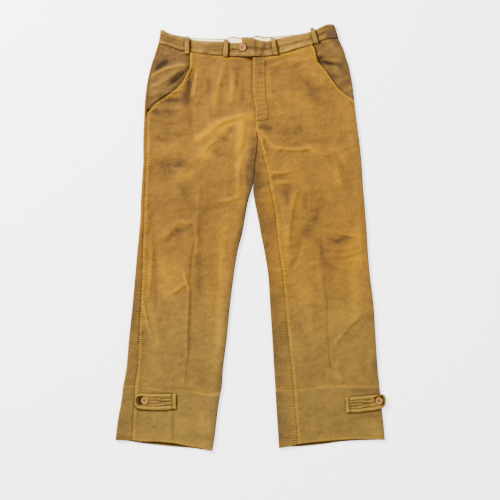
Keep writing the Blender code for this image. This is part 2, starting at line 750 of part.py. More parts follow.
def build():
    for obj in list(bpy.data.objects):
        bpy.data.objects.remove(obj, do_unlink=True)
    parts = bpy.data.collections.new("hunting_trousers")
    cutters = bpy.data.collections.new("cutters")
    bpy.context.scene.collection.children.link(parts)
    bpy.context.scene.collection.children.link(cutters)

    moleskin = material("moleskin", MOLESKIN, 0.95)
    brown = material("moleskin_brown", MOLESKIN_BROWN, 0.95)
    olive = material("moleskin_olive", MOLESKIN_OLIVE, 0.95)
    cream = material("cream_cotton", CREAM, 0.9)
    button_tan = material("button_tan", BUTTON_TAN, 0.4)
    patch_brown = material("patch_brown", PATCH_BROWN, 0.8)

    # The left mouth's foot turns round the side fold, so its rows lie closer there
    right = Leg("right", -1, RIGHT_SECTIONS, RIGHT_BACK_WAIST, RIGHT_MOUTH, 296, 8, ())
    foot_rows = spaced(336, 310, 14)
    left = Leg("left", 1, LEFT_SECTIONS, LEFT_BACK_WAIST, LEFT_MOUTH, 312, 20, foot_rows)
    legs = {"right": right, "left": left}
    # The outer fold bears the right outseam on top and hides the left one beneath; the inner
    # fold hides the right inseam and bears the left one on top.
    front_folds = {"right": (None, 15, "inner"), "left": ("outer", 15, None)}
    back_folds = {"right": (None, 4, "outer_again"), "left": ("inner", 4, None)}
    high, low = WAIST - SEAM_GAP, BAND_SEAM + SEAM_GAP
    hem = spaced(BAND_SEAM - SEAM_GAP, HEM, 4)
    for side, leg in legs.items():
        rows = rows_between(high, low, leg.foot_rows)
        ends = front_ends(leg)
        leg_panel(f"leg_front_{side}", leg, rows, ends, *front_folds[side], moleskin, parts)
        leg_panel(f"hem_band_front_{side}", leg, hem, ends, *front_folds[side], olive, parts)
        rows = rows_between(high, low)
        ends = back_ends(leg)
        leg_panel(f"leg_back_{side}", leg, rows, ends, *back_folds[side], moleskin, parts)
        leg_panel(f"hem_band_back_{side}", leg, hem, ends, *back_folds[side], olive, parts)
        rows = rows_between(high - SEAM_GAP, leg.mouth_foot + BEARER_FOOT, leg.foot_rows)
        ends = bearer_ends(leg)
        head = front_folds[side][0]
        leg_panel(f"pocket_bearer_{side}", leg, rows, ends, head, 8, None, brown, parts)
        waistband(leg, moleskin, parts)
        waistband_lining(leg, cream, parts)
        tab(f"ankle_tab_{side}", leg, TABS[side], olive, parts)
        place = TABS[side].button
        base = surface(leg, TAB_ROW, place.x) + LYING_GAP + TAB_CLOTH + SEAM_GAP
        button(f"ankle_button_{side}", place, base, button_tan, parts, cutters)

    fly_placket(left, moleskin, parts)
    side_patch(left, patch_brown, parts)
    for number, strip in enumerate(LOOPS, 1):
        belt_loop(number, strip, legs, moleskin, parts)
    base = surface(left, WAIST, 0) + BAND_CLOTH + 2 * SEAM_GAP
    button("waist_button", WAIST_BUTTON, base, button_tan, parts, cutters)


build()
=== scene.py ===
# Hunting trousers of brushed cotton, laid flat with the front up
import math
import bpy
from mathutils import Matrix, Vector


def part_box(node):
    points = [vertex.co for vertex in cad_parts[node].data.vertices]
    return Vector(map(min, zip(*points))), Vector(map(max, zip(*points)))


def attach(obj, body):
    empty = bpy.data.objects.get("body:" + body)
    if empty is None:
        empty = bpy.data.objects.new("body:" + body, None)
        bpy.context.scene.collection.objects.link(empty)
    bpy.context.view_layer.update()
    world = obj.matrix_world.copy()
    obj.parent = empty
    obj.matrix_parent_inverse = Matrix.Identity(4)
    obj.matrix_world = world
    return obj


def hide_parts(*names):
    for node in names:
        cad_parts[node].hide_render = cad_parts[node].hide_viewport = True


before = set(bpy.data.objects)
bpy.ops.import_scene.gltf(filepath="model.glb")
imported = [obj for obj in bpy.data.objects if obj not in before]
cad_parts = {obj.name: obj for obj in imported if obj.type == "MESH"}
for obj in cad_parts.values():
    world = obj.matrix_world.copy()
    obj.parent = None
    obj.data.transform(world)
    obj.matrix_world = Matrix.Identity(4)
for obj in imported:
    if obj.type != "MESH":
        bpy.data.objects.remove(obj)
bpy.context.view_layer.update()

from types import SimpleNamespace

import bpy
import numpy as np
from mathutils import Vector, noise
from mathutils.bvhtree import BVHTree

# Sizes here are millimetres on the garment: x to the wearer's left, y up to the waist
mm = 0.001
clothPieces = []
markNames = ("tone", "crease", "seam", "edge", "slit", "dull")    # what the cloth's colour reads
print("frame loaded with", len(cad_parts), "solids")


# Shader maths: a wire is a socket that plain operators can work on
class Wire:
    def __init__(self, tree, socket=None):
        self.tree = tree
        self.socket = socket

    def make(self, kind, settings, inputs, output=0):
        node = self.tree.nodes.new(kind)
        for name, value in settings.items():
            if name == "stops":
                fillRamp(node.color_ramp, value)
            else:
                setattr(node, name, value)
        for key, value in inputs.items():
            if isinstance(value, Wire):
                self.tree.links.new(value.socket, node.inputs[key])
            else:
                node.inputs[key].default_value = value
        return Wire(self.tree, node.outputs[output])

    def maths(self, operation, first, second):
        return self.make("ShaderNodeMath", {"operation": operation}, {0: first, 1: second})

    def __add__(self, other):
        return self.maths("ADD", self, other)

    def __sub__(self, other):
        return self.maths("SUBTRACT", self, other)

    def __rsub__(self, other):
        return self.maths("SUBTRACT", other, self)

    def __mul__(self, other):
        return self.maths("MULTIPLY", self, other)

    __radd__ = __add__
    __rmul__ = __mul__

    def mixed(self, first, second):    # this value picks between two colours
        settings = {"data_type": "RGBA"}
        return self.make("ShaderNodeMix", settings, {0: self, 6: first, 7: second}, 2)

    def noiseAt(self, scale, stretch=(1, 1, 1), detail=2):    # self is a coordinate
        placed = self.make("ShaderNodeMapping", {}, {"Vector": self, "Scale": stretch})
        inputs = {"Vector": placed, "Scale": scale, "Detail": detail}
        return self.make("ShaderNodeTexNoise", {}, inputs)

    def attribute(self, name):
        return self.make("ShaderNodeAttribute", {"attribute_name": name}, {}, 2)


def fillRamp(ramp, stops):
    while len(ramp.elements) < len(stops):
        ramp.elements.new(0.5)
    for element, (place, colour) in zip(ramp.elements, stops):
        element.position = place
        element.color = (*colour, 1)


def newMaterial(name, roughness):
    made = bpy.data.materials.new(name)
    made.use_nodes = True
    shader = made.node_tree.nodes["Principled BSDF"]
    shader.inputs["Roughness"].default_value = roughness
    start = Wire(made.node_tree)
    place = start.make("ShaderNodeTexCoord", {}, {}, 3)
    return made, shader, start, place


def connect(shader, name, wire):
    wire.tree.links.new(wire.socket, shader.inputs[name])


# Brushed cotton: colours from its hollows to its ridges, for painted shade and painted highlight
# as well as the nap's mottling, the pale worn colour of turned edges, and the dark of slits and painted
# shade
mustard = {
    "name": "mustardMoleskin", "slot": "moleskin",
    "hollow": (0.053, 0.029, 0.011), "body": (0.143, 0.067, 0.0105), "ridge": (0.268, 0.120, 0.001),
    "edge": (0.240, 0.126, 0.014), "ripples": (105, 240, 34), "ticks": 1,
}
bandMustard = {
    **mustard, "name": "bandMoleskin", "ripples": (60, 200, 60), "ticks": 0,
    "hollow": (0.042, 0.024, 0.011), "body": (0.116, 0.061, 0.014), "ridge": (0.215, 0.120, 0.020),
}
brown = {
    **mustard, "name": "brownMoleskin", "slot": "moleskin_brown",
    "hollow": (0.026, 0.014, 0.007), "body": (0.087, 0.046, 0.014), "ridge": (0.170, 0.088, 0.012),
}
olive = {
    **mustard, "name": "oliveMoleskin", "slot": "moleskin_olive",
    "hollow": (0.051, 0.032, 0.014), "body": (0.129, 0.075, 0.0165), "ridge": (0.210, 0.125, 0.016),
}
nap = {
    # size of the grain, its stretch and its detail
    "fine": (900, (1, 1, 1), 2), "brush": (230, (1, 0.6, 1), 3), "blotch": (12, (1, 0.6, 1), 3),
    "patchy": (46, (1, 0.7, 1), 3), "crinkle": (1, (48, 80, 48), 5),
    "ticks": {"Scale": 78, "Distortion": 6, "Detail": 2, "Detail Scale": 0.8}, "tickShare": 0.45,
    # how far each grain and each mark lightens the colour, and how far a grain stands out
    "bright": 0.48, "ripple": 1.5, "depth": 0.0013, "slit": (0.012, 0.006, 0.003),
    "lights": {"blotch": 0.4, "brush": 0.5, "fine": 0.36, "patchy": 0.35, "crinkle": 0.4},
    "marks": {"tone": 0.42, "crease": 0.31, "seam": 0.2},
    "heights": {"fine": 0.14, "brush": 0.3, "crinkle": 1.1},
    "shader": {
        "Sheen Weight": 0.02, "Sheen Roughness": 0.45, "Sheen Tint": (1.0, 0.65, 0.22, 1),
        "Specular IOR Level": 0.03,
    },
}


def stopsOf(look):
    return {"stops": [(0.0, look["hollow"]), (0.5, look["body"]), (1.0, look["ridge"])]}


def clothMaterial(look):
    made, shader, start, place = newMaterial(look["name"], 0.92)
    grains = {name: place.noiseAt(*nap[name]) for name in nap["lights"]}
    marks = {name: start.attribute(name) for name in markNames}
    ripple = place.noiseAt(1, look["ripples"], 2)
    if look["ticks"]:    # the even puckers that a row of stitches draws across a seam
        settings, inputs = {"bands_direction": "Y"}, {"Vector": place, **nap["ticks"]}
        ticks = place.make("ShaderNodeTexWave", settings, inputs, 1)
        ripple = ripple * (1 - nap["tickShare"]) + ticks * nap["tickShare"]
    # by seams, puckers are painted lighter on their crests and darker between, as painted highlight and
    # shade
    light = nap["bright"] + (ripple - 0.5) * marks["seam"] * nap["ripple"]
    for name, share in nap["lights"].items():
        light = light + (grains[name] - 0.5) * share
    # tone: wear with painted highlight and shade; crease: ridges painted lighter and hollows darker
    for name, share in nap["marks"].items():
        light = light + marks[name] * share
    colour = start.make("ShaderNodeValToRGB", stopsOf(look), {"Fac": light})
    greener = start.make("ShaderNodeValToRGB", stopsOf(olive), {"Fac": light})
    colour = marks["dull"].mixed(colour, greener)
    worn = marks["edge"] * (0.35 + grains["brush"] * 0.9)
    colour = worn.mixed(colour, (*look["edge"], 1))
    # the dark of slits and seam lines, and painted shade in gaps and round what stands off the cloth
    colour = marks["slit"].mixed(colour, (*nap["slit"], 1))
    connect(shader, "Base Color", colour)
    height = ripple * marks["seam"] * nap["ripple"]
    for name, share in nap["heights"].items():
        height = height + grains[name] * share
    bump = start.make("ShaderNodeBump", {}, {"Height": height, "Distance": nap["depth"]})
    connect(shader, "Normal", bump)
    for name, value in nap["shader"].items():
        shader.inputs[name].default_value = value
    return made


def plainMaterial(name, colour, darker, size, roughness, depth, gloss=0.1):
    made, shader, start, place = newMaterial(name, roughness)
    shader.inputs["Specular IOR Level"].default_value = gloss
    grain = place.noiseAt(size, detail=3)
    connect(shader, "Base Color", grain.mixed((*darker, 1), (*colour, 1)))
    bump = start.make("ShaderNodeBump", {}, {"Height": grain, "Distance": depth})
    connect(shader, "Normal", bump)
    return made


# The other finishes: colour, darker colour, size of the grain, roughness, depth and gloss
finishes = {
    "creamCotton": ((0.95, 0.80, 0.46), (0.74, 0.58, 0.31), 420, 0.9, 0.0003),
    "patchCloth": ((0.062, 0.029, 0.017), (0.034, 0.016, 0.010), 500, 0.8, 0.0003),
    "goldThread": ((0.330, 0.190, 0.040), (0.220, 0.115, 0.020), 800, 0.7, 0.0001),
    "mustardThread": ((0.210, 0.105, 0.014), (0.140, 0.066, 0.009), 800, 0.8, 0.0001),
    "brownThread": ((0.060, 0.028, 0.010), (0.030, 0.014, 0.006), 800, 0.7, 0.0001),
    "buttonShell": ((0.315, 0.136, 0.030), (0.210, 0.082, 0.018), 260, 0.5, 0.00005, 0.2),
    "buttonDish": ((0.210, 0.080, 0.030), (0.140, 0.050, 0.018), 260, 0.5, 0.00005, 0.2),
}
plain = {name: plainMaterial(name, *values) for name, values in finishes.items()}
for look in (mustard, bandMustard, brown, olive):
    look["made"] = clothMaterial(look)
cream = {"slot": "cream_cotton", "made": plain["creamCotton"]}
patchCloth = {"slot": "patch_brown", "made": plain["patchCloth"]}
print("materials made")


# The garment's form, as the solids have it: a table row for each height of a leg gives x of its
# outer and inner side fold, and the lengths round from them to the outseam and the inseam
garment = {
    "waist": 433, "fork": 258, "bandSeam": -364, "hem": -490, "bandDepth": 36,
    "waistReach": 140, "bandReach": 80, "foldTurn": 22, "foldFall": 26, "gap": -0.3,
    # height, height of the two layers in the middle, radius of the side folds
    "lies": [
        (512, 7.0, 3.9), (433, 7.0, 3.9), (392, 6.7, 3.8), (320, 6.3, 3.8),
        (258, 5.8, 3.7), (116, 5.2, 3.6), (-356, 4.9, 3.5), (-512, 5.0, 3.5),
    ],
    "waistSeam": [
        (-217, 464), (-193, 458), (-169, 449), (-145, 445), (-121, 441), (-85, 437), (-25, 433),
        (35, 434), (71, 440), (95, 446), (119, 454), (150, 463), (179, 475), (210, 479),
    ],
    "backTop": [
        (-217, 499), (-210, 498), (-197, 491), (-181, 487), (-143, 480), (-61, 478), (-42, 483),
        (-25, 480), (5, 482), (15, 485), (35, 482), (83, 485), (124, 490), (157, 499),
        (179, 510), (191, 512), (201, 511),
    ],
    "bandLine": [
        (-301, -356), (-268, -356), (-241, -361), (-208, -365), (-174, -364), (-143, -368),
        (-102, -376), (-76, -375), (64, -365), (119, -364), (151, -359), (205, -357), (304, -355),
    ],
    "frontHem": [
        (-323, -487), (-294, -486), (-265, -490), (-222, -491), (-182, -495), (-148, -502),
        (-122, -506), (-100, -511.5), (-91, -512), (68, -506), (94, -500), (126, -495),
        (173, -490), (236, -485), (280, -485), (322, -486),
    ],
    "backHem": [
        (-323, -487), (-294, -489), (-265, -494), (-222, -499), (-182, -503), (-143, -506),
        (-100, -511.5), (-91, -512), (68, -506), (94, -503), (121, -502), (173, -497),
        (215, -491), (258, -488), (322, -486),
    ],
}
rightLeg = {
    "name": "right", "side": -1, "mouthFoot": 296, "mouthTurn": 8,
    "sections": [
        (512, -214, 4, 8, 0), (484, -218, 5, 8, 0), (464, -222, 5, 8, 0), (433, -232, 6, 8, 0),
        (412, -239, 6, 9, 0), (373, -248, 6, 8, 0), (335, -253, 8, 8, 0), (306, -255, 13, 9, 0),
        (258, -257, 14, 10, 0), (229, -258, 18, 10, -13), (181, -258, 11.5, 10, -13),
        (150, -260, 10, 10, -13), (133, -261, 7, 10, -13), (116, -262, 3, 11, -13),
        (85, -264, -6, 11, -13), (47, -265, -13, 12, -13), (8, -268, -20, 13, -13),
        (-30, -272, -30, 15, -13), (-88, -277, -39.5, 19, -13), (-164, -284, -49, 22, -13),
        (-241, -292, -56.5, 26, -13), (-318, -299, -66, 29, -13), (-356, -306, -68.5, 30, -13),
        (-395, -311, -75.5, 33, -13), (-433, -318, -80.5, 37, -13), (-472, -323, -85, 41, -13),
        (-512, -326, -91, 44, -13),
    ],
    "backWaist": [(-222, 464), (5, 433)],
    "frontTop": [
        (-217, 499), (-210, 498), (-197, 491), (-181, 486), (-160, 482), (-143, 475),
        (-109, 471), (-68, 470), (-50, 467), (-26, 467), (5, 468),
    ],
    "mouth": [
        (460, -145), (426, -145), (409, -145), (397, -150), (383, -157), (371, -164), (359, -174),
        (347, -188), (336, -205), (329, -217), (319, -229), (306, -241), (296, -248),
    ],
}
leftLeg = {
    "name": "left", "side": 1, "mouthFoot": 312, "mouthTurn": 20,
    "sections": [
        (512, 201, 4, -13, 0), (491, 208, 5, -13, 0), (474, 213, 5, -13, 0), (450, 224, 6, -13, 0),
        (433, 229, 6, -13, 0), (412, 236, 6, -13, 0), (373, 244, 6, -13, 0), (335, 249, 8, -13, 0),
        (306, 252, 13, -13, 0), (258, 258, 14, -13, 0), (229, 262, 18, -13, 6),
        (181, 267, 11.5, -13, 25), (150, 269, 10, -13, 35), (133, 270, 7, -13, 40),
        (116, 271, 6, -13, 44), (85, 274, 10, -13, 46), (47, 277, 18, -13, 44),
        (8, 280, 25, -13, 41), (-30, 282, 32.5, -13, 38), (-88, 287, 42, -13, 37),
        (-164, 296, 47, -13, 39), (-241, 301, 52, -13, 41), (-318, 306, 56.5, -13, 45),
        (-356, 310, 59, -13, 46), (-395, 314, 61, -13, 47), (-433, 318, 63.5, -13, 47),
        (-472, 322, 66, -13, 48), (-512, 324, 68.5, -13, 48),
    ],
    "backWaist": [(5, 433), (214, 479)],
    "frontTop": [
        (-26, 480), (-5, 480), (11, 476), (28, 472), (47, 472), (64, 477), (107, 485),
        (140, 492), (157, 499), (179, 510), (191, 512), (201, 511),
    ],
    "mouth": [
        (464, 147), (450, 155), (438, 157), (430, 160), (416, 167), (402, 179), (385, 191),
        (368, 203), (354, 215), (344, 227), (334, 239), (324, 246),
    ],
}

# Creases, given one by one: each runs from one point to another with a bow, a half width and a height
creases = {
    "rise": 1.3, "lowest": -2.6, "highest": 5.5, "margin": 15, "past": 0.2, "taper": 0.4,
    "steep": 0.42, "soft": 0.85,
    "lines": [
        # drag lines from the fork down the right thigh
        (-6, 292, -86, 265, 5, 11, 2.9), (-86, 265, -130, 232, -3, 15, 2.0),
        (-20, 284, -31, 200, -7, 13, 2.3), (-24, 186, -27, 96, 2, 10, 2.0),
        (-42, 262, -64, 222, 0, 12, -1.3), (-84, 232, -112, 200, 4, 9, 1.6),
        (-118, 196, -172, 150, 3, 15, 1.8), (-230, 176, -150, 172, 0, 16, -1.6),
        (-190, 246, -150, 200, 0, 14, 1.2), (-140, 300, -134, 236, 3, 9, -1.1),
        (-100, 320, -96, 262, 2, 9, 1.1), (-180, 120, -150, 60, 0, 14, 1.1),
        (-78, 236, -36, 229, 0, 10, -1.2), (-88, 200, -36, 192, 0, 11, -1.4),
        (-86, 84, -22, 98, 2, 8, 1.7), (-95, 68, -30, 76, 0, 10, -1.0),
        (-237, 292, -190, 274, 4, 7, 1.8), (-228, 280, -170, 268, 0, 8, -1.0),
        (-200, 252, -120, 262, 6, 12, 1.0), (-230, 232, -180, 226, 0, 10, -0.9),
        # soft upright folds under the right waist
        (-72, 412, -80, 372, 0, 9, -1.4), (-66, 398, -84, 306, 4, 15, 1.7),
        (-40, 372, -46, 320, 0, 13, 1.5), (-28, 398, -29, 358, 0, 7, -1.8),
        (-98, 380, -97, 340, 0, 10, -1.4), (-52, 410, -50, 352, 0, 9, -1.6),
        (-14, 352, -17, 326, 0, 8, -1.3), (-118, 400, -122, 330, 3, 12, 1.0),
        # the dart beside the right pocket
        (-136, 404, -144, 377, 2, 5, -2.6), (-144, 377, -152, 330, -2, 8, -3.2),
        (-128, 392, -134, 338, 0, 7, 2.0), (-216, 334, -170, 327, 3, 8, -2.6),
        (-205, 346, -160, 352, 0, 7, 1.8), (-224, 310, -158, 312, 4, 7, 1.6),
        # right knee and shin
        (-206, -14, -184, 14, 5, 10, -1.5), (-184, 16, -140, 24, 4, 8, -1.6),
        (-210, 6, -176, 34, 6, 12, 1.3), (-176, 34, -132, 40, 3, 10, 1.2),
        (-124, 20, -112, -20, 0, 9, -1.4), (-121, 114, -128, -30, 3, 8, 1.6),
        (-132, -4, -144, -122, 3, 5, -1.9), (-146, -118, -152, -276, 2, 6, 1.9),
        (-140, -125, -145, -290, 0, 6, -1.5), (-154, -280, -160, -356, 0, 6, 1.4),
        (-158, -84, -143, -126, 3, 5, 3.2), (-196, -138, -156, -110, 3, 8, 2.0),
        (-200, -90, -165, -96, 0, 9, -0.9), (-238, -4, -248, -156, -5, 9, 2.0),
        (-255, -158, -236, -238, 2, 5, 3.0), (-226, -28, -226, -178, 0, 12, -2.0),
        (-214, -200, -196, -262, 0, 10, -1.0), (-100, -60, -92, -220, 0, 14, 1.1),
        (-75, -40, -78, -150, 0, 9, -0.9), (-181, -402, -181, -493, 2, 7, -1.6),
        (-190, -405, -192, -490, 0, 7, 1.0), (-120, -395, -108, -480, 0, 12, 0.9),
        # drag lines from the fork across the left thigh
        (14, 256, 52, 220, -4, 8, 3.6), (52, 220, 74, 211, 3, 8, 3.0),
        (74, 212, 142, 214, 3, 7, 2.8), (142, 214, 192, 198, 5, 8, 2.0),
        (20, 262, 54, 258, 0, 8, -2.0), (55, 250, 118, 248, 0, 13, -1.1),
        (132, 230, 182, 226, 0, 11, -1.6), (34, 232, 52, 205, 3, 7, -1.8),
        (52, 155, 92, 156, 2, 6, 2.2), (50, 140, 84, 141, 0, 6, -2.4),
        (60, 128, 96, 130, 0, 6, 1.7), (80, 122, 112, 114, 0, 9, -1.6),
        (188, 206, 206, 152, 0, 9, -1.8), (205, 170, 222, 122, 0, 9, 1.4),
        (112, 114, 92, -10, 5, 11, 2.4), (136, 104, 134, 66, 0, 9, -1.4),
        (166, 62, 128, 8, -8, 15, -1.1), (122, -14, 100, -72, -4, 9, -1.6),
        (100, -58, 101, -120, 0, 10, -0.9), (126, 300, 124, 250, 0, 9, -1.2),
        (60, 340, 76, 300, 0, 14, 1.0), (134, 374, 168, 344, 5, 14, -1.8),
        (44, 405, 52, 330, 0, 12, 1.2), (90, 400, 96, 330, 0, 16, 0.8),
        # short puckers across the left inseam below the fork
        (12, 184, 38, 180, 1, 5, 1.4), (14, 172, 46, 170, 1, 4, -1.2), (16, 161, 48, 157, 0, 5, 1.3),
        (20, 118, 52, 116, 1, 5, 1.2), (22, 104, 50, 99, 0, 4, -1.1), (26, 88, 60, 86, 1, 5, 1.1),
        # left knee and shin
        (172, 14, 208, 12, 0, 7, 1.2), (208, 12, 250, 2, 2, 5, 2.0),
        (180, -4, 206, -8, 0, 8, -1.2), (204, -12, 242, -2, 0, 8, -1.4),
        (180, -26, 246, -22, 4, 6, 1.2), (186, -46, 262, -34, 4, 6, 1.2),
        (172, 0, 180, -60, 3, 7, -1.3), (178, -60, 186, -150, 2, 7, -0.8),
        (165, -30, 178, -150, 4, 8, 0.8),
        (186, -150, 196, -330, 3, 4, -1.3), (296, -178, 236, -228, 4, 14, -1.2),
        (262, -190, 200, -262, 4, 10, 1.8), (190, -146, 232, -158, 0, 8, -1.0),
        (210, -290, 216, -350, 0, 10, 0.9), (135, -100, 150, -240, 0, 16, 1.0),
        (262, 90, 268, -60, 0, 10, 1.0), (150, -395, 156, -480, 0, 14, 0.9),
        (96, -390, 98, -485, 0, 6, -1.6), (108, -392, 110, -480, 0, 7, 1.0),
        # under the left waist, and the bearers behind both mouths
        (30, 421, 118, 441, -4, 9, 1.9), (44, 408, 122, 428, -3, 6, 1.3), (64, 398, 132, 416, 2, 7, -1.2),
        (100, 418, 146, 428, 0, 5, 1.2), (34, 410, 70, 421, 0, 5, -1.0), (150, 396, 176, 372, 3, 6, 1.0),
        (165, 428, 218, 412, 3, 8, -2.4),
        (182, 404, 232, 388, 3, 8, 1.8), (172, 440, 205, 434, 0, 7, 1.2),
        (-232, 396, -201, 421, 0, 9, -2.4), (-238, 385, -150, 412, -7, 7, 2.4),
        (-194, 365, -154, 400, 2, 8, -2.6), (-236, 359, -170, 402, 4, 7, 2.0),
        # small wrinkles across the left mouth's border
        (140, 408, 158, 400, 0, 3.5, 0.9), (156, 388, 176, 378, 0, 3.5, 0.9),
        (172, 368, 194, 358, 0, 3.5, 1.0), (190, 350, 212, 340, 0, 3.5, 0.9),
        (148, 398, 166, 388, 0, 3.5, -0.7), (180, 360, 200, 350, 0, 3.5, -0.7),
        (-240, 340, -205, 352, 0, 7, 1.4), (-236, 330, -214, 338, 0, 6, -1.4),
    ],
}
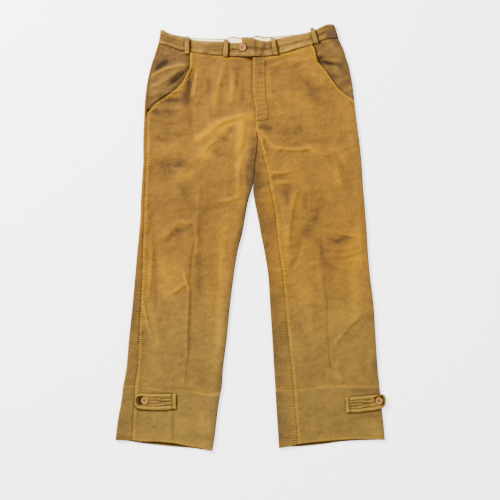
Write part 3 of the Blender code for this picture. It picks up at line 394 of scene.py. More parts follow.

# Wear, fading, painted highlights and painted shade: soft streaks from one point to another, with a half
# width and a strength
wearAndShading = [
    # painted highlights along the drag lines of the right thigh below the fork, and painted shade between
    # them
    (0, 290, -60, 272, 11, 0.9), (-60, 272, -124, 240, 13, 0.8), (-124, 238, -228, 208, 15, 0.3),
    (-24, 280, -24, 172, 12, 0.85), (-24, 172, -26, 110, 10, 0.3), (-86, 236, -112, 196, 10, 0.6),
    (-112, 196, -150, 150, 13, 0.5), (-150, 150, -200, 128, 13, 0.3), (-208, 166, -132, 182, 13, -0.5),
    (-216, 296, -196, 250, 26, -0.55), (-228, 300, -190, 304, 12, -0.55), (-190, 270, -170, 60, 50, -0.2),
    # right knee and shin
    (-100, 118, -88, 90, 26, -0.5), (-176, 84, -130, 70, 24, -0.4), (-110, 60, -118, 20, 16, -0.25),
    (-198, 0, -176, 12, 9, -0.5), (-176, 12, -138, 12, 8, -0.3), (-194, -70, -206, -140, 20, 0.6),
    (-232, -60, -240, -160, 8, 0.35), (-240, -160, -224, -262, 9, 0.5), (-126, -40, -122, -130, 8, -0.45),
    (-151, -140, -157, -330, 7, -0.25), (-66, 20, -76, -250, 13, 0.6), (-258, -60, -270, -180, 9, -0.3),
    (-262, -230, -290, -480, 14, -0.35), (-284, -436, -280, -446, 14, -0.35),
    (-160, -440, -110, -450, 26, 0.2),
    (-2, 110, -40, -40, 7, -0.3), (-70, -30, -74, -90, 9, 0.3), (-266, -120, -276, -220, 8, -0.4),
    (-109, -190, -112, -250, 14, -0.3), (-170, 180, -152, 166, 12, -0.35), (-222, 116, -190, 110, 14, 0.3),
    (-194, -14, -190, -24, 12, -0.35), (-232, -366, -205, -367, 9, -0.4), (-124, -420, -120, -436, 20, 0.2),
    (-280, -478, -110, -500, 9, 0.3), (70, -500, 300, -478, 9, 0.25),
    (4, 118, -20, 8, 9, -0.5), (-20, 8, -52, -180, 9, -0.45), (-52, -180, -88, -490, 9, -0.45),
    (-262, 20, -282, -220, 8, -0.5), (0, 100, -14, 10, 7, -0.45), (-78, -80, -82, -310, 14, 0.25),
    (-292, -405, -284, -470, 10, 0.3), (-172, -440, -170, -478, 9, 0.25),
    (-218, 240, -150, 232, 14, -0.25), (-160, 106, -130, 150, 12, -0.3), (-206, -20, -190, -66, 9, -0.35),
    (-232, 60, -252, -30, 12, -0.25), (-66, 130, -30, 140, 14, -0.25), (-120, 214, -96, 196, 9, 0.4),
    (0, 240, -2, 120, 8, -0.5),
    # right front below the waist
    (-116, 452, -60, 446, 9, -0.2), (-200, 252, -120, 258, 10, -0.2), (-70, 330, -74, 300, 8, -0.3),
    (-140, 428, -90, 424, 11, -0.3), (-40, 400, -37, 372, 8, -0.35), (-70, 256, -46, 240, 9, 0.5),
    (-7, 262, -7, 215, 7, 0.5), (-232, 334, -160, 330, 8, 0.3),
    (-43, 392, -45, 335, 8, 0.5), (-97, 372, -97, 356, 10, -0.35), (-25, 420, -25, 405, 12, -0.45),
    (-91, 374, -91, 358, 12, -0.2), (-144, 405, -148, 372, 5, -0.6), (-66, 396, -70, 350, 7, -0.4),
    (-118, 420, -124, 330, 10, -0.25), (-20, 380, -18, 330, 8, -0.3), (-150, 370, -155, 320, 8, -0.7),
    (-216, 326, -150, 330, 9, -0.7),
    # shade at the fork and across the left front
    (11, 205, 10, 130, 11, -0.9), (-5, 170, -4, 125, 7, -0.6), (30, 268, 44, 262, 11, -0.5),
    (70, 248, 116, 256, 13, -0.25), (20, 428, 24, 395, 14, -0.65), (-37, 420, -36, 408, 10, -0.3),
    (52, 296, 100, 300, 11, 0.3), (96, 362, 150, 340, 14, -0.35),
    (150, 340, 196, 312, 14, -0.3), (110, 330, 160, 312, 10, 0.2), (60, 392, 120, 400, 10, -0.2),
    (120, 142, 128, 120, 16, 0.4), (196, 214, 216, 194, 14, 0.4), (86, 276, 104, 274, 12, 0.2),
    (44, 226, 140, 218, 12, 0.12), (140, 218, 210, 212, 12, 0.1), (191, 222, 239, 126, 10, -0.25),
    (226, 300, 232, 200, 22, 0.3), (196, 330, 206, 300, 14, 0.2),
    (14, 240, 14, 200, 9, -0.6), (-20, 178, 6, 130, 9, -0.35), (50, 232, 120, 225, 9, -0.4),
    (30, 424, 56, 396, 12, -0.25), (60, 366, 116, 348, 13, 0.25), (100, 340, 124, 286, 14, 0.25),
    (96, 172, 118, 84, 16, 0.35), (228, 350, 250, 306, 12, 0.3), (110, 392, 170, 356, 14, -0.25),
    (10, 150, 40, 130, 8, -0.35), (40, 292, 96, 288, 8, -0.25), (86, 106, 90, 40, 7, -0.35),
    (130, 190, 168, 150, 16, 0.25), (186, 180, 208, 130, 12, 0.35), (210, 330, 244, 250, 18, 0.25),
    # left knee and shin
    (186, -4, 212, -10, 7, -0.4), (210, -10, 236, -2, 7, -0.4), (200, -44, 226, -48, 6, -0.25),
    (56, -60, 66, -150, 7, -0.3), (180, -60, 196, -96, 14, -0.2), (130, -10, 116, -36, 9, 0.3),
    (288, -450, 306, -470, 12, 0.3), (170, -428, 196, -436, 20, 0.15),
    (46, 0, 62, -110, 8, -0.45), (84, -190, 100, -480, 11, -0.35), (244, -54, 258, -220, 16, 0.25),
    (86, 112, 96, 104, 16, -0.5), (172, 66, 140, 16, 16, -0.28), (140, 16, 106, -34, 15, -0.3),
    (10, 112, 30, -20, 9, -0.5), (30, -20, 46, -160, 9, -0.5), (46, -160, 62, -480, 9, -0.4),
    (84, -44, 96, -110, 10, 0.4), (190, -190, 262, -170, 26, 0.5), (130, -330, 150, -440, 26, -0.25),
    (50, 30, 56, -80, 9, -0.4), (80, -290, 88, -360, 10, -0.35), (92, -410, 96, -450, 12, -0.3),
    (160, 16, 172, -4, 12, 0.3), (258, -50, 262, -80, 14, 0.2), (182, -220, 184, -262, 12, 0.2),
    (76, 84, 84, -44, 10, 0.4), (250, 20, 254, -130, 17, 0.45), (178, 0, 180, -52, 17, -0.35),
    (130, -70, 132, -140, 26, 0.3), (180, -110, 182, -150, 12, -0.2), (182, -272, 236, -240, 11, -0.12),
    (236, -240, 292, -190, 11, -0.4), (150, -250, 260, -180, 12, 0.15), (296, -310, 300, -350, 16, -0.3),
    (250, -368, 300, -366, 9, -0.55), (270, -428, 306, -424, 9, -0.5), (70, -190, 76, -480, 11, -0.3),
    (96, -230, 100, -480, 7, 0.2), (200, -400, 240, -470, 30, -0.15),
    # waistband
    (15, 436, 12, 472, 5, -0.25), (27, 436, 37, 470, 5, -0.25), (21, 440, 25, 470, 3, 0.3),
    (4, 444, 4, 470, 3, 0.25), (60, 442, 120, 456, 5, 0.3),
    (6, 455, 40, 455, 16, -0.3), (-200, 470, -150, 455, 14, -0.35), (-127, 456, -70, 452, 10, 0.2),
    (70, 462, 130, 474, 12, 0.3), (180, 490, 205, 490, 14, -0.5),
    # pocket bearers
    (-176, 422, -152, 398, 9, 0.5), (186, 470, 206, 400, 11, 0.3),
    (-226, 412, -204, 420, 7, -0.6), (-196, 370, -168, 392, 9, -0.25),
    (-232, 336, -226, 336, 10, 0.4), (-232, 388, -180, 402, 5, 0.3),
    (-236, 352, -200, 368, 6, 0.3), (-160, 345, -156, 330, 10, -0.6), (167, 420, 190, 404, 7, -0.7),
    (190, 404, 222, 396, 8, -0.3), (190, 466, 214, 440, 9, 0.35), (176, 428, 216, 426, 4, 0.6),
    (158, 438, 194, 462, 4, 0.6), (176, 408, 208, 407, 4, 0.5), (214, 379, 236, 385, 3, 0.5),
    (226, 354, 242, 359, 3, 0.6), (228, 343, 244, 349, 3, -0.4), (-230, 397, -202, 420, 7, -0.6),
    (-234, 389, -197, 407, 4, 0.6), (-197, 407, -158, 413, 4, 0.5), (-236, 364, -184, 398, 5, 0.45),
]


def smoothStep(share):
    share = np.clip(share, 0, 1)
    return share * share * (3 - 2 * share)


def ridge(away, width, at=0):    # 1 at its own place, and nothing about two widths off
    return np.exp(-(((away - at) / width) ** 2))


def topShare(z):    # 1 on the side that faces up, 0 beneath
    return smoothStep((z - 1.5) / 3.5)


def turnedAbout(x, y, centreX, centreY, turn):
    c, s = math.cos(math.radians(turn)), math.sin(math.radians(turn))
    return (x - centreX) * c + (y - centreY) * s, (y - centreY) * c - (x - centreX) * s


# A smooth curve through a table's rows, read at any places
def curveThrough(table, place, column=1):
    table = sorted(table)
    keys = np.array([row[0] for row in table], float)
    values = np.array([row[column] for row in table], float)
    slopes = np.gradient(values)
    slopes[1:-1] = (values[2:] - values[:-2]) / (keys[2:] - keys[:-2])
    slopes[0] = (values[1] - values[0]) / (keys[1] - keys[0])
    slopes[-1] = (values[-1] - values[-2]) / (keys[-1] - keys[-2])
    right = np.clip(np.searchsorted(keys, place), 1, len(keys) - 1)
    left = right - 1
    span = keys[right] - keys[left]
    share = np.clip((place - keys[left]) / span, 0, 1)
    rise = values[right] - values[left]
    bend = (slopes[left] * span - rise) * (1 - share) - (slopes[right] * span - rise) * share
    return values[left] + rise * share + bend * share * (1 - share)


# Rows follow the waist seam, the hem bands' seams and the hems: y of a row at each x
def rowHeight(leg, row, x, under):
    g = garment
    seam = np.where(under, curveThrough(leg["backWaist"], x), curveThrough(g["waistSeam"], x))
    top = np.where(under, curveThrough(g["backTop"], x), curveThrough(leg["frontTop"], x))
    line = curveThrough(g["bandLine"], x)
    hem = np.where(under, curveThrough(g["backHem"], x), curveThrough(g["frontHem"], x))
    inBand = seam + (top - seam) * (row - g["waist"]) / g["bandDepth"]
    waistShare = smoothStep((row - g["waist"] + g["waistReach"]) / g["waistReach"])
    hemShare = smoothStep((g["bandSeam"] + g["bandReach"] - row) / g["bandReach"])
    onLegs = row + (seam - g["waist"]) * waistShare + (line - g["bandSeam"]) * hemShare
    inHem = line + (hem - line) * (g["bandSeam"] - row) / (g["bandSeam"] - g["hem"])
    return np.select([row >= g["waist"], row >= g["bandSeam"]], [inBand, onLegs], inHem)


# Sections across a leg, one for each row of a grid
def sectionsAt(leg, rows):
    g = garment
    row = np.asarray(rows, float).reshape(-1, 1)

    def meet(table, column):
        x = curveThrough(table, row, column)
        for _ in range(6):
            x = curveThrough(table, rowHeight(leg, row, x, False), column)
        return x

    s = SimpleNamespace(leg=leg, row=row, inward=-leg["side"])
    s.outer = meet(leg["sections"], 1)
    s.inner = meet(leg["sections"], 2) + leg["side"] * g["gap"] / 2
    s.mouth = meet(leg["mouth"], 1)
    s.middle = curveThrough(g["lies"], row, 1)
    s.radius = curveThrough(g["lies"], row, 2)
    s.turn = smoothStep((g["fork"] - row) / g["foldTurn"])
    s.sideRise = s.middle / 2 + (s.radius - s.middle / 2) * s.turn
    s.quarter = s.radius * math.pi / 2
    s.length = abs(s.inner - s.outer) - s.radius * (1 + s.turn) + s.quarter * (1 + s.turn)
    s.outseam = curveThrough(leg["sections"], row, 3)
    s.inseam = s.length - s.turn * curveThrough(leg["sections"], row, 4)
    onTop = np.maximum(abs(s.mouth - s.outer), s.radius) - s.radius + s.quarter
    share = smoothStep((row - leg["mouthFoot"]) / leg["mouthTurn"])
    s.pocket = s.outseam + (onTop - s.outseam) * share
    return s


def creaseHeight(x, y, lines):
    total = np.zeros_like(x)
    past, taper = creases["past"], creases["taper"]
    for x0, y0, x1, y1, bow, width, height in lines:
        dx, dy = x1 - x0, y1 - y0
        span = math.hypot(dx, dy)
        share = ((x - x0) * dx + (y - y0) * dy) / span**2
        off = ((x - x0) * dy - (y - y0) * dx) / span - 4 * bow * share * (1 - share)
        ends = smoothStep((share + past) / taper) * smoothStep((1 + past - share) / taper)
        steep = off * (dx + dy) > 0
        reach = width * np.where(steep, creases["steep"], creases["soft"])
        total += height * ends * ridge(off, reach)
    return np.clip(total, creases["lowest"], creases["highest"])


# wear, fading, painted highlights and painted shade, read at any places
def wearAndShadingAt(x, y):
    total = np.zeros_like(x)
    for x0, y0, x1, y1, width, strength in wearAndShading:
        dx, dy = x1 - x0, y1 - y0
        share = np.clip(((x - x0) * dx + (y - y0) * dy) / (dx * dx + dy * dy), 0, 1)
        off = np.hypot(x - x0 - share * dx, y - y0 - share * dy)
        total += strength * ridge(off, width)
    return np.clip(total, -1.1, 1.1)


# Painted shadows in the gaps where one layer stands off another: centre, two half sizes, turn and depth of
# colour
gapeShadows = [
    # waistband's corner, the last loop, the extension's foot and the right mouth's foot
    (-3, 430, 11, 4.2, 0, 1.0), (1, 428, 7, 4.6, 0, 1.0), (62, 472, 2.6, 8, 12, 1.0),
    (-20, 432, 13, 1.8, 0, 0.8), (-246, 316, 3, 18, -8, 0.5), (-249, 300, 3.5, 12, -6, 0.85),
    # the dart beside the right mouth
    (-138, 389, 2.4, 15, -10, 0.8), (-144, 360, 2.8, 22, -9, 0.75), (-150, 332, 3, 13, -8, 0.5),
    (-193, 330, 22, 2.8, 8, 0.4), (-150, 401, 5, 3, 20, 0.6), (-176, 383, 20, 5, 40, 0.3),
    # folds behind the left mouth, and the line of the fly
    (243, 318, 2.5, 9, 25, 0.7), (166, 431.5, 8, 4.2, 4, 1.0), (162, 424, 4, 7, 20, 0.9),
    (183, 419, 24, 3.9, -9, 0.95), (214, 410, 14, 3, -27, 0.5), (4, 395, 2, 45, -2, 0.35),
    # nicks in the right hem band
    (-144, -410, 4.5, 1.6, 40, 0.75), (-229, -454, 5.5, 1.5, -20, 0.7), (-101, -481, 7, 1.8, -40, 0.5),
]
# Shade round the waist button and the ankle tabs: centre, two half sizes, corner, turn and depth
shades = [
    (-18, 454, 8.6, 8.6, 8.6, 0, 0.75),
    (-227.5, -394, 49, 19, 12, 0.5, 0.75), (277, -397.5, 48, 18, 12, 6.2, 0.75),
]


# painted shadows in those gaps, and painted shade round the button and the tabs
def paintedShadowsAt(x, y):
    total = np.zeros_like(x)
    for cx, cy, halfX, halfY, corner, turn, depth in shades:
        u, v = (abs(part) for part in turnedAbout(x, y, cx, cy, turn))
        past = np.hypot(np.maximum(u - halfX + corner, 0), np.maximum(v - halfY + corner, 0)) - corner
        total = np.maximum(total, depth * ridge(np.maximum(past, 0), 2.3))
    for cx, cy, across, along, turn, depth in gapeShadows:
        u, v = turnedAbout(x, y, cx, cy, turn)
        total = np.maximum(total, depth * ridge(u, across) * ridge(v, along))
    return total


def unevenness(x, y, sizeX, sizeY, seed):
    places = zip(x.ravel() / sizeX, y.ravel() / sizeY)
    values = [noise.noise(Vector((a, b, seed))) for a, b in places]
    return np.array(values).reshape(x.shape)


# Small wrinkles all over: height, size each way and seed. The last ones run aslant
wrinkles = [(0.6, 26, 38, 1.5), (0.9, 70, 110, 4.5), (0.45, 26, 9, 12.5)]
slantWrinkles = (24, 10, 7.5)


# Height of the cloth on top: the middle, the rise to each side fold and the creases
def topHeight(s, x, y):
    g = garment
    fromOuter, fromInner = abs(x - s.outer), abs(x - s.inner)
    pastOuter = smoothStep((fromOuter - s.radius) / g["foldFall"])
    pastInner = smoothStep((fromInner - s.radius * s.turn) / g["foldFall"])
    height = s.middle + (2 * s.radius - s.middle) * (1 - pastOuter)
    height += (2 * s.sideRise - s.middle) * (1 - pastInner)
    calm = smoothStep(fromOuter / creases["margin"])
    calm *= 1 + (smoothStep(fromInner / creases["margin"]) - 1) * s.turn
    calm *= smoothStep((g["waist"] - s.row) / 14)
    inHem = s.row < g["bandSeam"]
    calm *= 0.3 + np.where(inHem, 0.4, 0.7) * smoothStep(abs(s.row - g["bandSeam"]) / 12)
    crease = calm * creaseHeight(x, y, creases["lines"])
    small = 0.5 * unevenness(x + 0.6 * y, 0.8 * y - 0.5 * x, *slantWrinkles)
    small = calm * (small + sum(tall * unevenness(x, y, *form) for tall, *form in wrinkles))
    return height + crease + small + creases["rise"] * calm, crease + 0.8 * small


# Points of the outer face at lengths round the leg from its outer fold: over the top, round the
# inner fold and back beneath
def onLeg(s, place, drop=0):
    around = 2 * s.length
    p = np.where(place > around - s.quarter, place - around, place)
    p = np.where(p < -s.quarter, p + around, p)
    innerQuarter = s.quarter * s.turn
    innerReach = s.radius * s.turn
    outerAngle = p / s.radius
    innerAngle = (s.length - p) / np.maximum(innerQuarter, 1e-6) * math.pi / 2
    zones = [p <= s.quarter, p <= s.length - innerQuarter, p < s.length + innerQuarter]
    past = p - s.length - innerQuarter
    across = np.select(zones, [
        s.radius - (s.radius - drop) * np.cos(outerAngle),
        s.radius + p - s.quarter,
        abs(s.inner - s.outer) - innerReach * (1 - np.cos(innerAngle)),
    ], abs(s.inner - s.outer) - innerReach - past)
    x = s.outer + s.inward * across
    under = np.where(zones[0], p < 0, p > s.length)
    y = rowHeight(s.leg, s.row, x, under)
    top, crease = topHeight(s, x, y)
    z = np.select(zones, [
        s.radius + (s.radius - drop) * np.sin(outerAngle),
        top - drop,
        s.sideRise * (1 + np.sin(innerAngle)),
    ], drop)
    onTop = zones[1] & ~zones[0]
    return x, y, z, np.where(onTop, crease, 0)


# Distances in from an edge where its rows and columns lie close together, and places round a fold
closeBy = np.array([0, 0.35, 0.9, 1.7, 2.8])
roundFold = np.linspace(-7, 7, 13)


def rowsBetween(low, high, step):
    inside = np.linspace(low + 4.5, high - 4.5, round((high - low) / step))
    return np.concatenate([low + closeBy, inside, high - closeBy[::-1]])


# Columns of a panel from its start to its stop, by way of the folds that it goes round
def layColumns(s, start, stop, head, across, tail):
    folds = {"outer": 0 * s.length, "inner": s.length, "again": 2 * s.length}
    width = stop - start
    least = np.minimum(0.25, width / (across + 45))
    close = closeBy * np.minimum(1, width / 30)
    first, last = start + close[:, -1:] + least, stop - close[:, -1:] - least
    blocks, ends = [start + close], []
    if head:
        blocks.append(folds[head] + roundFold)
        first = np.maximum(first + 14 * least, folds[head] + 9)
    if tail:
        ends.append(folds[tail] + roundFold)
        last = np.minimum(last - 14 * least, folds[tail] - 9)
    inside = first + (last - first) * np.linspace(0, 1, across)
    places = np.concatenate([*blocks, inside, *ends, stop - close[:, ::-1]], axis=1)
    for i in range(1, places.shape[1]):
        places[:, i] = np.maximum(places[:, i], places[:, i - 1] + least[:, 0])
    places[:, -1:] = stop
    for i in reversed(range(places.shape[1] - 1)):
        places[:, i] = np.minimum(places[:, i], places[:, i + 1] - least[:, 0])
    return places


# Edges by kind. Form: height, width and distance in of each swell and dip, besides a turned edge's
# roll. Marks: the mark, its strength, width and distance in, and where it comes and goes, by how
# much, the size of that each way and its seed
seamForm = [(1.0, 4.2, 6), (-0.4, 1.6, 0)]
seamLine = ("slit", 0.36, 1.1, 0)
turnedMarks = [("seam", 0.8, 7, 6), ("edge", 0.5, 1.5, 0)]
edgeKinds = {
    "seam": (seamForm, [seamLine, ("seam", 0.3, 4.6, 3.5, 0.9, 24, 32, 19.5)]),
    "felled": (seamForm, [
        seamLine, ("seam", 1.0, 6.6, 5.5, 0.9, 24, 32, 19.5), ("edge", 0.38, 4.4, 5.5, 0.6, 30, 26, 18.5),
    ]),
    "waist": (seamForm, [
        seamLine, ("seam", 1.0, 4.6, 3.5, 0.9, 24, 32, 19.5), ("slit", 0.68, 1.7, 0, 0.5, 30, 30, 17.5),
    ]),
    "flat": ([(-0.3, 1.2, 0), (0.25, 3, 4)], [("edge", 0.5, 2.0, 1.6, 0.9, 34, 34, 16.5)]),
    "tuck": ([(-1.5, 5, 0)], []),
    "plain": ([(-0.2, 1.6, 0)], []),
    "free": ([], turnedMarks),
    "mouth": ([(1.5, 9, 0), (0.5, 2, 3), (-0.5, 0.9, 6), (-0.5, 0.9, 9)], turnedMarks),
    "hem": ([], [("slit", 0.6, 1.2, 0), ("edge", 0.5, 2.2, 4)]),
    # in shade under the front hem, but for its own edge
    "backHem": ([], [("slit", 0.85, 3.8, 5.5), ("edge", 0.4, 1.5, 0)]),
}
turnedEdge = {"kinds": ("free", "mouth", "hem", "backHem"), "roll": 1.1}
mouthRows = {"at": (6.0, 9.0), "width": 1.1, "depth": 0.45}    # its two rows of stitches
puckers = {"height": 0.8, "sizes": (16, 5.5, 9.5)}


# A panel's relief and marks, from the kind of each of its edges and the distance to it
def finishEdges(x, y, edges):
    height = np.zeros_like(x)
    marks = {mark: np.zeros_like(x) for mark in ("seam", "edge", "slit")}
    for kind, away, share in edges:
        forms, kindMarks = edgeKinds[kind]
        if kind in turnedEdge["kinds"]:
            inside = np.maximum(turnedEdge["roll"] - away, 0)
            rolled = np.sqrt(np.maximum(turnedEdge["roll"] ** 2 - inside**2, 0))
            height += share * (rolled - turnedEdge["roll"])
        for tall, width, at in forms:
            height += share * tall * ridge(away, width, at)
        for mark, strength, width, at, *uneven in kindMarks:
            if uneven:
                strength = strength + uneven[0] * unevenness(x, y, *uneven[1:])
            marks[mark] = np.maximum(marks[mark], share * strength * ridge(away, width, at))
        if kind == "mouth":
            rows = sum(ridge(away, mouthRows["width"], at) for at in mouthRows["at"])
            darken(marks, share * mouthRows["depth"] * rows)
    height += puckers["height"] * marks["seam"] * unevenness(x, y, *puckers["sizes"])
    return height, marks


def darken(marks, depth):
    marks["slit"] = np.maximum(marks["slit"], depth)


# Distances from a grid's first and last column
def fromEnds(places):
    return places - places[:, :1], places[:, -1:] - places


# Dents of the hidden side, which lies on the floor
backCreases = [
    (-150, 250, -40, 300, 6, 12, 0.9), (-190, 120, -60, 170, 5, 14, 0.8), (-210, 330, -90, 350, 0, 16, 0.7),
    (-230, 20, -120, 0, 6, 12, 0.9), (-220, -40, -110, -80, -5, 13, 0.8),
    (-150, -100, -160, -330, 4, 12, 0.7),
    (40, 290, 160, 250, 6, 12, 0.9), (60, 180, 200, 140, 4, 14, 0.8), (90, 360, 200, 340, 0, 16, 0.7),
    (90, 40, 230, 10, 6, 12, 0.9), (110, -50, 250, -70, 5, 12, 0.8), (190, -110, 200, -320, 4, 12, 0.7),
]


# Lies a grid of places on a leg, with the relief of its edges and the dents beneath. Where the
# back comes round to the front, shade is how much darker it is between its edges
def layPanel(s, places, edges, drop=0, shade=0):
    x, y, z, crease = onLeg(s, places, drop)
    onTop = topShare(z)
    height, marks = finishEdges(x, y, edges)
    z = z + onTop * height
    fromFolds = np.minimum(abs(x - s.outer), abs(x - s.inner))
    dents = creaseHeight(x, y, backCreases) + 0.45 * unevenness(x, y, 30, 45, 3.5)
    beneath = (z < 0.01) * smoothStep((fromFolds - 8) / 20) * smoothStep((s.row[-1] - s.row) / 12)
    z = z + beneath * smoothStep((s.row - s.row[0]) / 12) * np.clip(dents, 0, 0.9)
    # tone: wear with painted highlight and shade, and beneath the same mirrored
    tone = np.where(onTop > 0, wearAndShadingAt(x, y), 0.6 * wearAndShadingAt(-x, y))
    between = [smoothStep((away - 9) / 8) for away in fromEnds(places)]
    marks["tone"] = tone - shade * onTop * between[0] * between[1]
    # the crease height is painted into the colour, ridges lighter and hollows darker, as painted highlight
    # and shade
    marks["crease"] = crease / 3
    marks["dull"] = 0.8 * smoothStep((-20 - y) / 280)
    # painted shadows where layers stand off the cloth
    darken(marks, onTop * paintedShadowsAt(x, y))
    return (x, y, z), marks


# A wall of cloth from a grid of points, in rows from low to high and columns from -x to +x
def makeCloth(name, grid, look, wall, marks):
    x, y, z = grid
    rows, columns = x.shape
    bpy.ops.object.select_all(action="DESELECT")
    bpy.ops.mesh.primitive_grid_add(x_subdivisions=columns - 1, y_subdivisions=rows - 1)
    piece = bpy.context.object
    piece.name = name
    points = np.stack([x, y, z], axis=-1) * mm
    piece.data.vertices.foreach_set("co", points.astype(np.float32).ravel())
    for mark in markNames:
        values = np.zeros(x.shape, np.float32) + marks.get(mark, 0)
        layer = piece.data.attributes.new(mark, "FLOAT", "POINT")
        layer.data.foreach_set("value", values.astype(np.float32).ravel())
    piece.data.materials.append(look["made"])
    solid = piece.modifiers.new("Wall", "SOLIDIFY")
    solid.thickness = wall * mm
    solid.offset = -1
    bpy.ops.object.modifier_apply(modifier=solid.name)
    bpy.ops.object.shade_smooth_by_angle(angle=math.radians(60))
    return piece


# Hangs a piece on the root and hides the solid that it stands for
def declare(piece, node):
    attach(piece, "root")
    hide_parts(node)


def clothPiece(name, node, grid, look, wall, marks, leftward=False):
    if leftward:    # the left leg's columns run towards -x
        grid = [part[:, ::-1] for part in grid]
        marks = {mark: values[:, ::-1] for mark, values in marks.items()}
    piece = makeCloth(name, grid, look, wall, marks)
    declare(piece, node)
    clothPieces.append(piece)
    return piece


# The four panels of the legs and their hem bands
panels = {"step": 2.5, "across": 88, "backStep": 4.5, "backAcross": 40, "wall": 1.5, "backWall": 1.2}


def inseamGap(s):    # front and back part a little below the fork
    below = np.clip((garment["fork"] - s.row) / 60, 0, 1)
    return 0.01 + 0.24 * np.sin(math.pi * below)


def endEdges(s, top, foot):
    return [(top, s.row[-1] - s.row, 1), (foot, s.row - s.row[0], 1)]


def layFront(name, node, leg, rows, look, top, foot):
    s = sectionsAt(leg, rows)
    right = leg["side"] < 0
    head, tail = (None, "inner") if right else ("outer", None)
    places = layColumns(s, s.pocket + 0.1, s.inseam - inseamGap(s), head, panels["across"], tail)
    fromMouth, fromStop = fromEnds(places)
    mouth = smoothStep((s.row - leg["mouthFoot"] - leg["mouthTurn"]) / 12)
    edges = [
        ("mouth", fromMouth, mouth), ("felled", fromMouth, 1 - mouth),
        ("tuck" if right else "free", fromStop, 1 - s.turn), ("felled", fromStop, s.turn),
    ]
    grid, marks = layPanel(s, places, edges + endEdges(s, top, foot))
    border = smoothStep((s.row - leg["mouthFoot"] - 4) / 12) * (grid[2] > 2)
    marks["tone"] = marks["tone"] + 0.55 * border * smoothStep((11.5 - fromMouth) / 1.5)
    darken(marks, 0.22 * border * ridge(fromMouth, 1.5, 12.5))
    return clothPiece(name, node, grid, look, panels["wall"], marks, not right)


def layBack(name, node, leg, rows, look, top, foot):
    s = sectionsAt(leg, rows)
    right = leg["side"] < 0
    start, stop = s.inseam + inseamGap(s), 2 * s.length + s.outseam - 0.1
    head, tail = (None, "again") if right else ("inner", None)
    places = layColumns(s, start, stop, head, panels["backAcross"], tail)
    edges = [("seam", away, 1) for away in fromEnds(places)]
    grid, marks = layPanel(s, places, edges + endEdges(s, top, foot), shade=0.3)
    inSight = grid[2] > 2    # where the back comes round to the front
    marks["seam"] = marks["seam"] * (1 + 0.3 * inSight * smoothStep((60 - s.row) / 120))
    onHip = (grid[2] > 1.5) * smoothStep((s.row - leg["mouthFoot"]) / 20)
    marks["tone"] = marks["tone"] - 0.5 * onHip
    darken(marks, 0.12 * onHip)
    if foot == "backHem":    # the part in sight has no front hem over it, so it has no shade
        inOpen = inSight * smoothStep((garment["hem"] + 16 - s.row) / 4)
        marks["slit"] = marks["slit"] * (1 - 0.8 * inOpen)
    return clothPiece(name, node, grid, look, panels["backWall"], marks, not right)


legRows = rowsBetween(garment["bandSeam"] + 0.1, garment["waist"] + 0.4, panels["step"])
hemRows = rowsBetween(garment["hem"], garment["bandSeam"] - 0.1, panels["step"])
backRows = rowsBetween(garment["bandSeam"] + 0.1, garment["waist"] + 0.4, panels["backStep"])
for leg in (rightLeg, leftLeg):
    side = leg["name"]
    back = layBack(side + "Back", "leg_back_" + side, leg, backRows, mustard, "waist", "flat")
    layFront(side + "Front", "leg_front_" + side, leg, legRows, mustard, "waist", "flat")
    name, node = side + "HemBack", "hem_band_back_" + side
    hemBack = layBack(name, node, leg, hemRows, olive, "flat", "backHem")
    name, node = side + "HemFront", "hem_band_front_" + side
    layFront(name, node, leg, hemRows, olive, "flat", "hem")
print("legs and hem bands laid:", len(clothPieces), "pieces")


# Pocket bearers, in the browner cloth: they run on beneath the edge of each mouth
bearer = {"lap": 12, "drop": 2.5, "step": 9, "ease": 14, "foot": 12, "across": 44, "wall": 1.3}


def layBearer(leg):
    g, name = bearer, leg["name"]
    low = leg["mouthFoot"] + g["foot"]
    s = sectionsAt(leg, rowsBetween(low, garment["waist"] - 0.3, panels["step"]))
    above = (s.row - leg["mouthFoot"] - leg["mouthTurn"]) / g["ease"]
    head = None if leg["side"] < 0 else "outer"
    stop = s.pocket - 0.3 + g["lap"] * smoothStep(above - 1)
    places = layColumns(s, s.outseam + 0.1, stop, head, g["across"], None)
    fromPocket = places - s.pocket
    drop = g["drop"] * smoothStep(above) * smoothStep((fromPocket + g["lap"]) / g["step"])
    edges = [("plain", fromEnds(places)[0], 1), ("waist", s.row[-1] - s.row, 1)]
    grid, marks = layPanel(s, places, edges, drop)
    uneven = 0.4 * unevenness(grid[0], grid[1], 22, 12, 15.5)
    # besides its random tone, the bearer is painted darker under the mouth's edge, with a painted shadow
    # line along it and painted shadows in its folds
    marks["tone"] = marks["tone"] - 0.25 * smoothStep((fromPocket + 9) / 9) + uneven
    darken(marks, 0.7 * ridge(fromPocket, 3.2) * smoothStep(above))
    darken(marks, paintedShadowsAt(grid[0], grid[1]) * (grid[2] > 1.2))
    node, under = "pocket_bearer_" + name, [name + "Back"]
    clothPiece(name + "Bearer", node, grid, brown, g["wall"], marks, leg["side"] > 0)


layBearer(rightLeg)
layBearer(leftLeg)
print("pocket bearers laid")


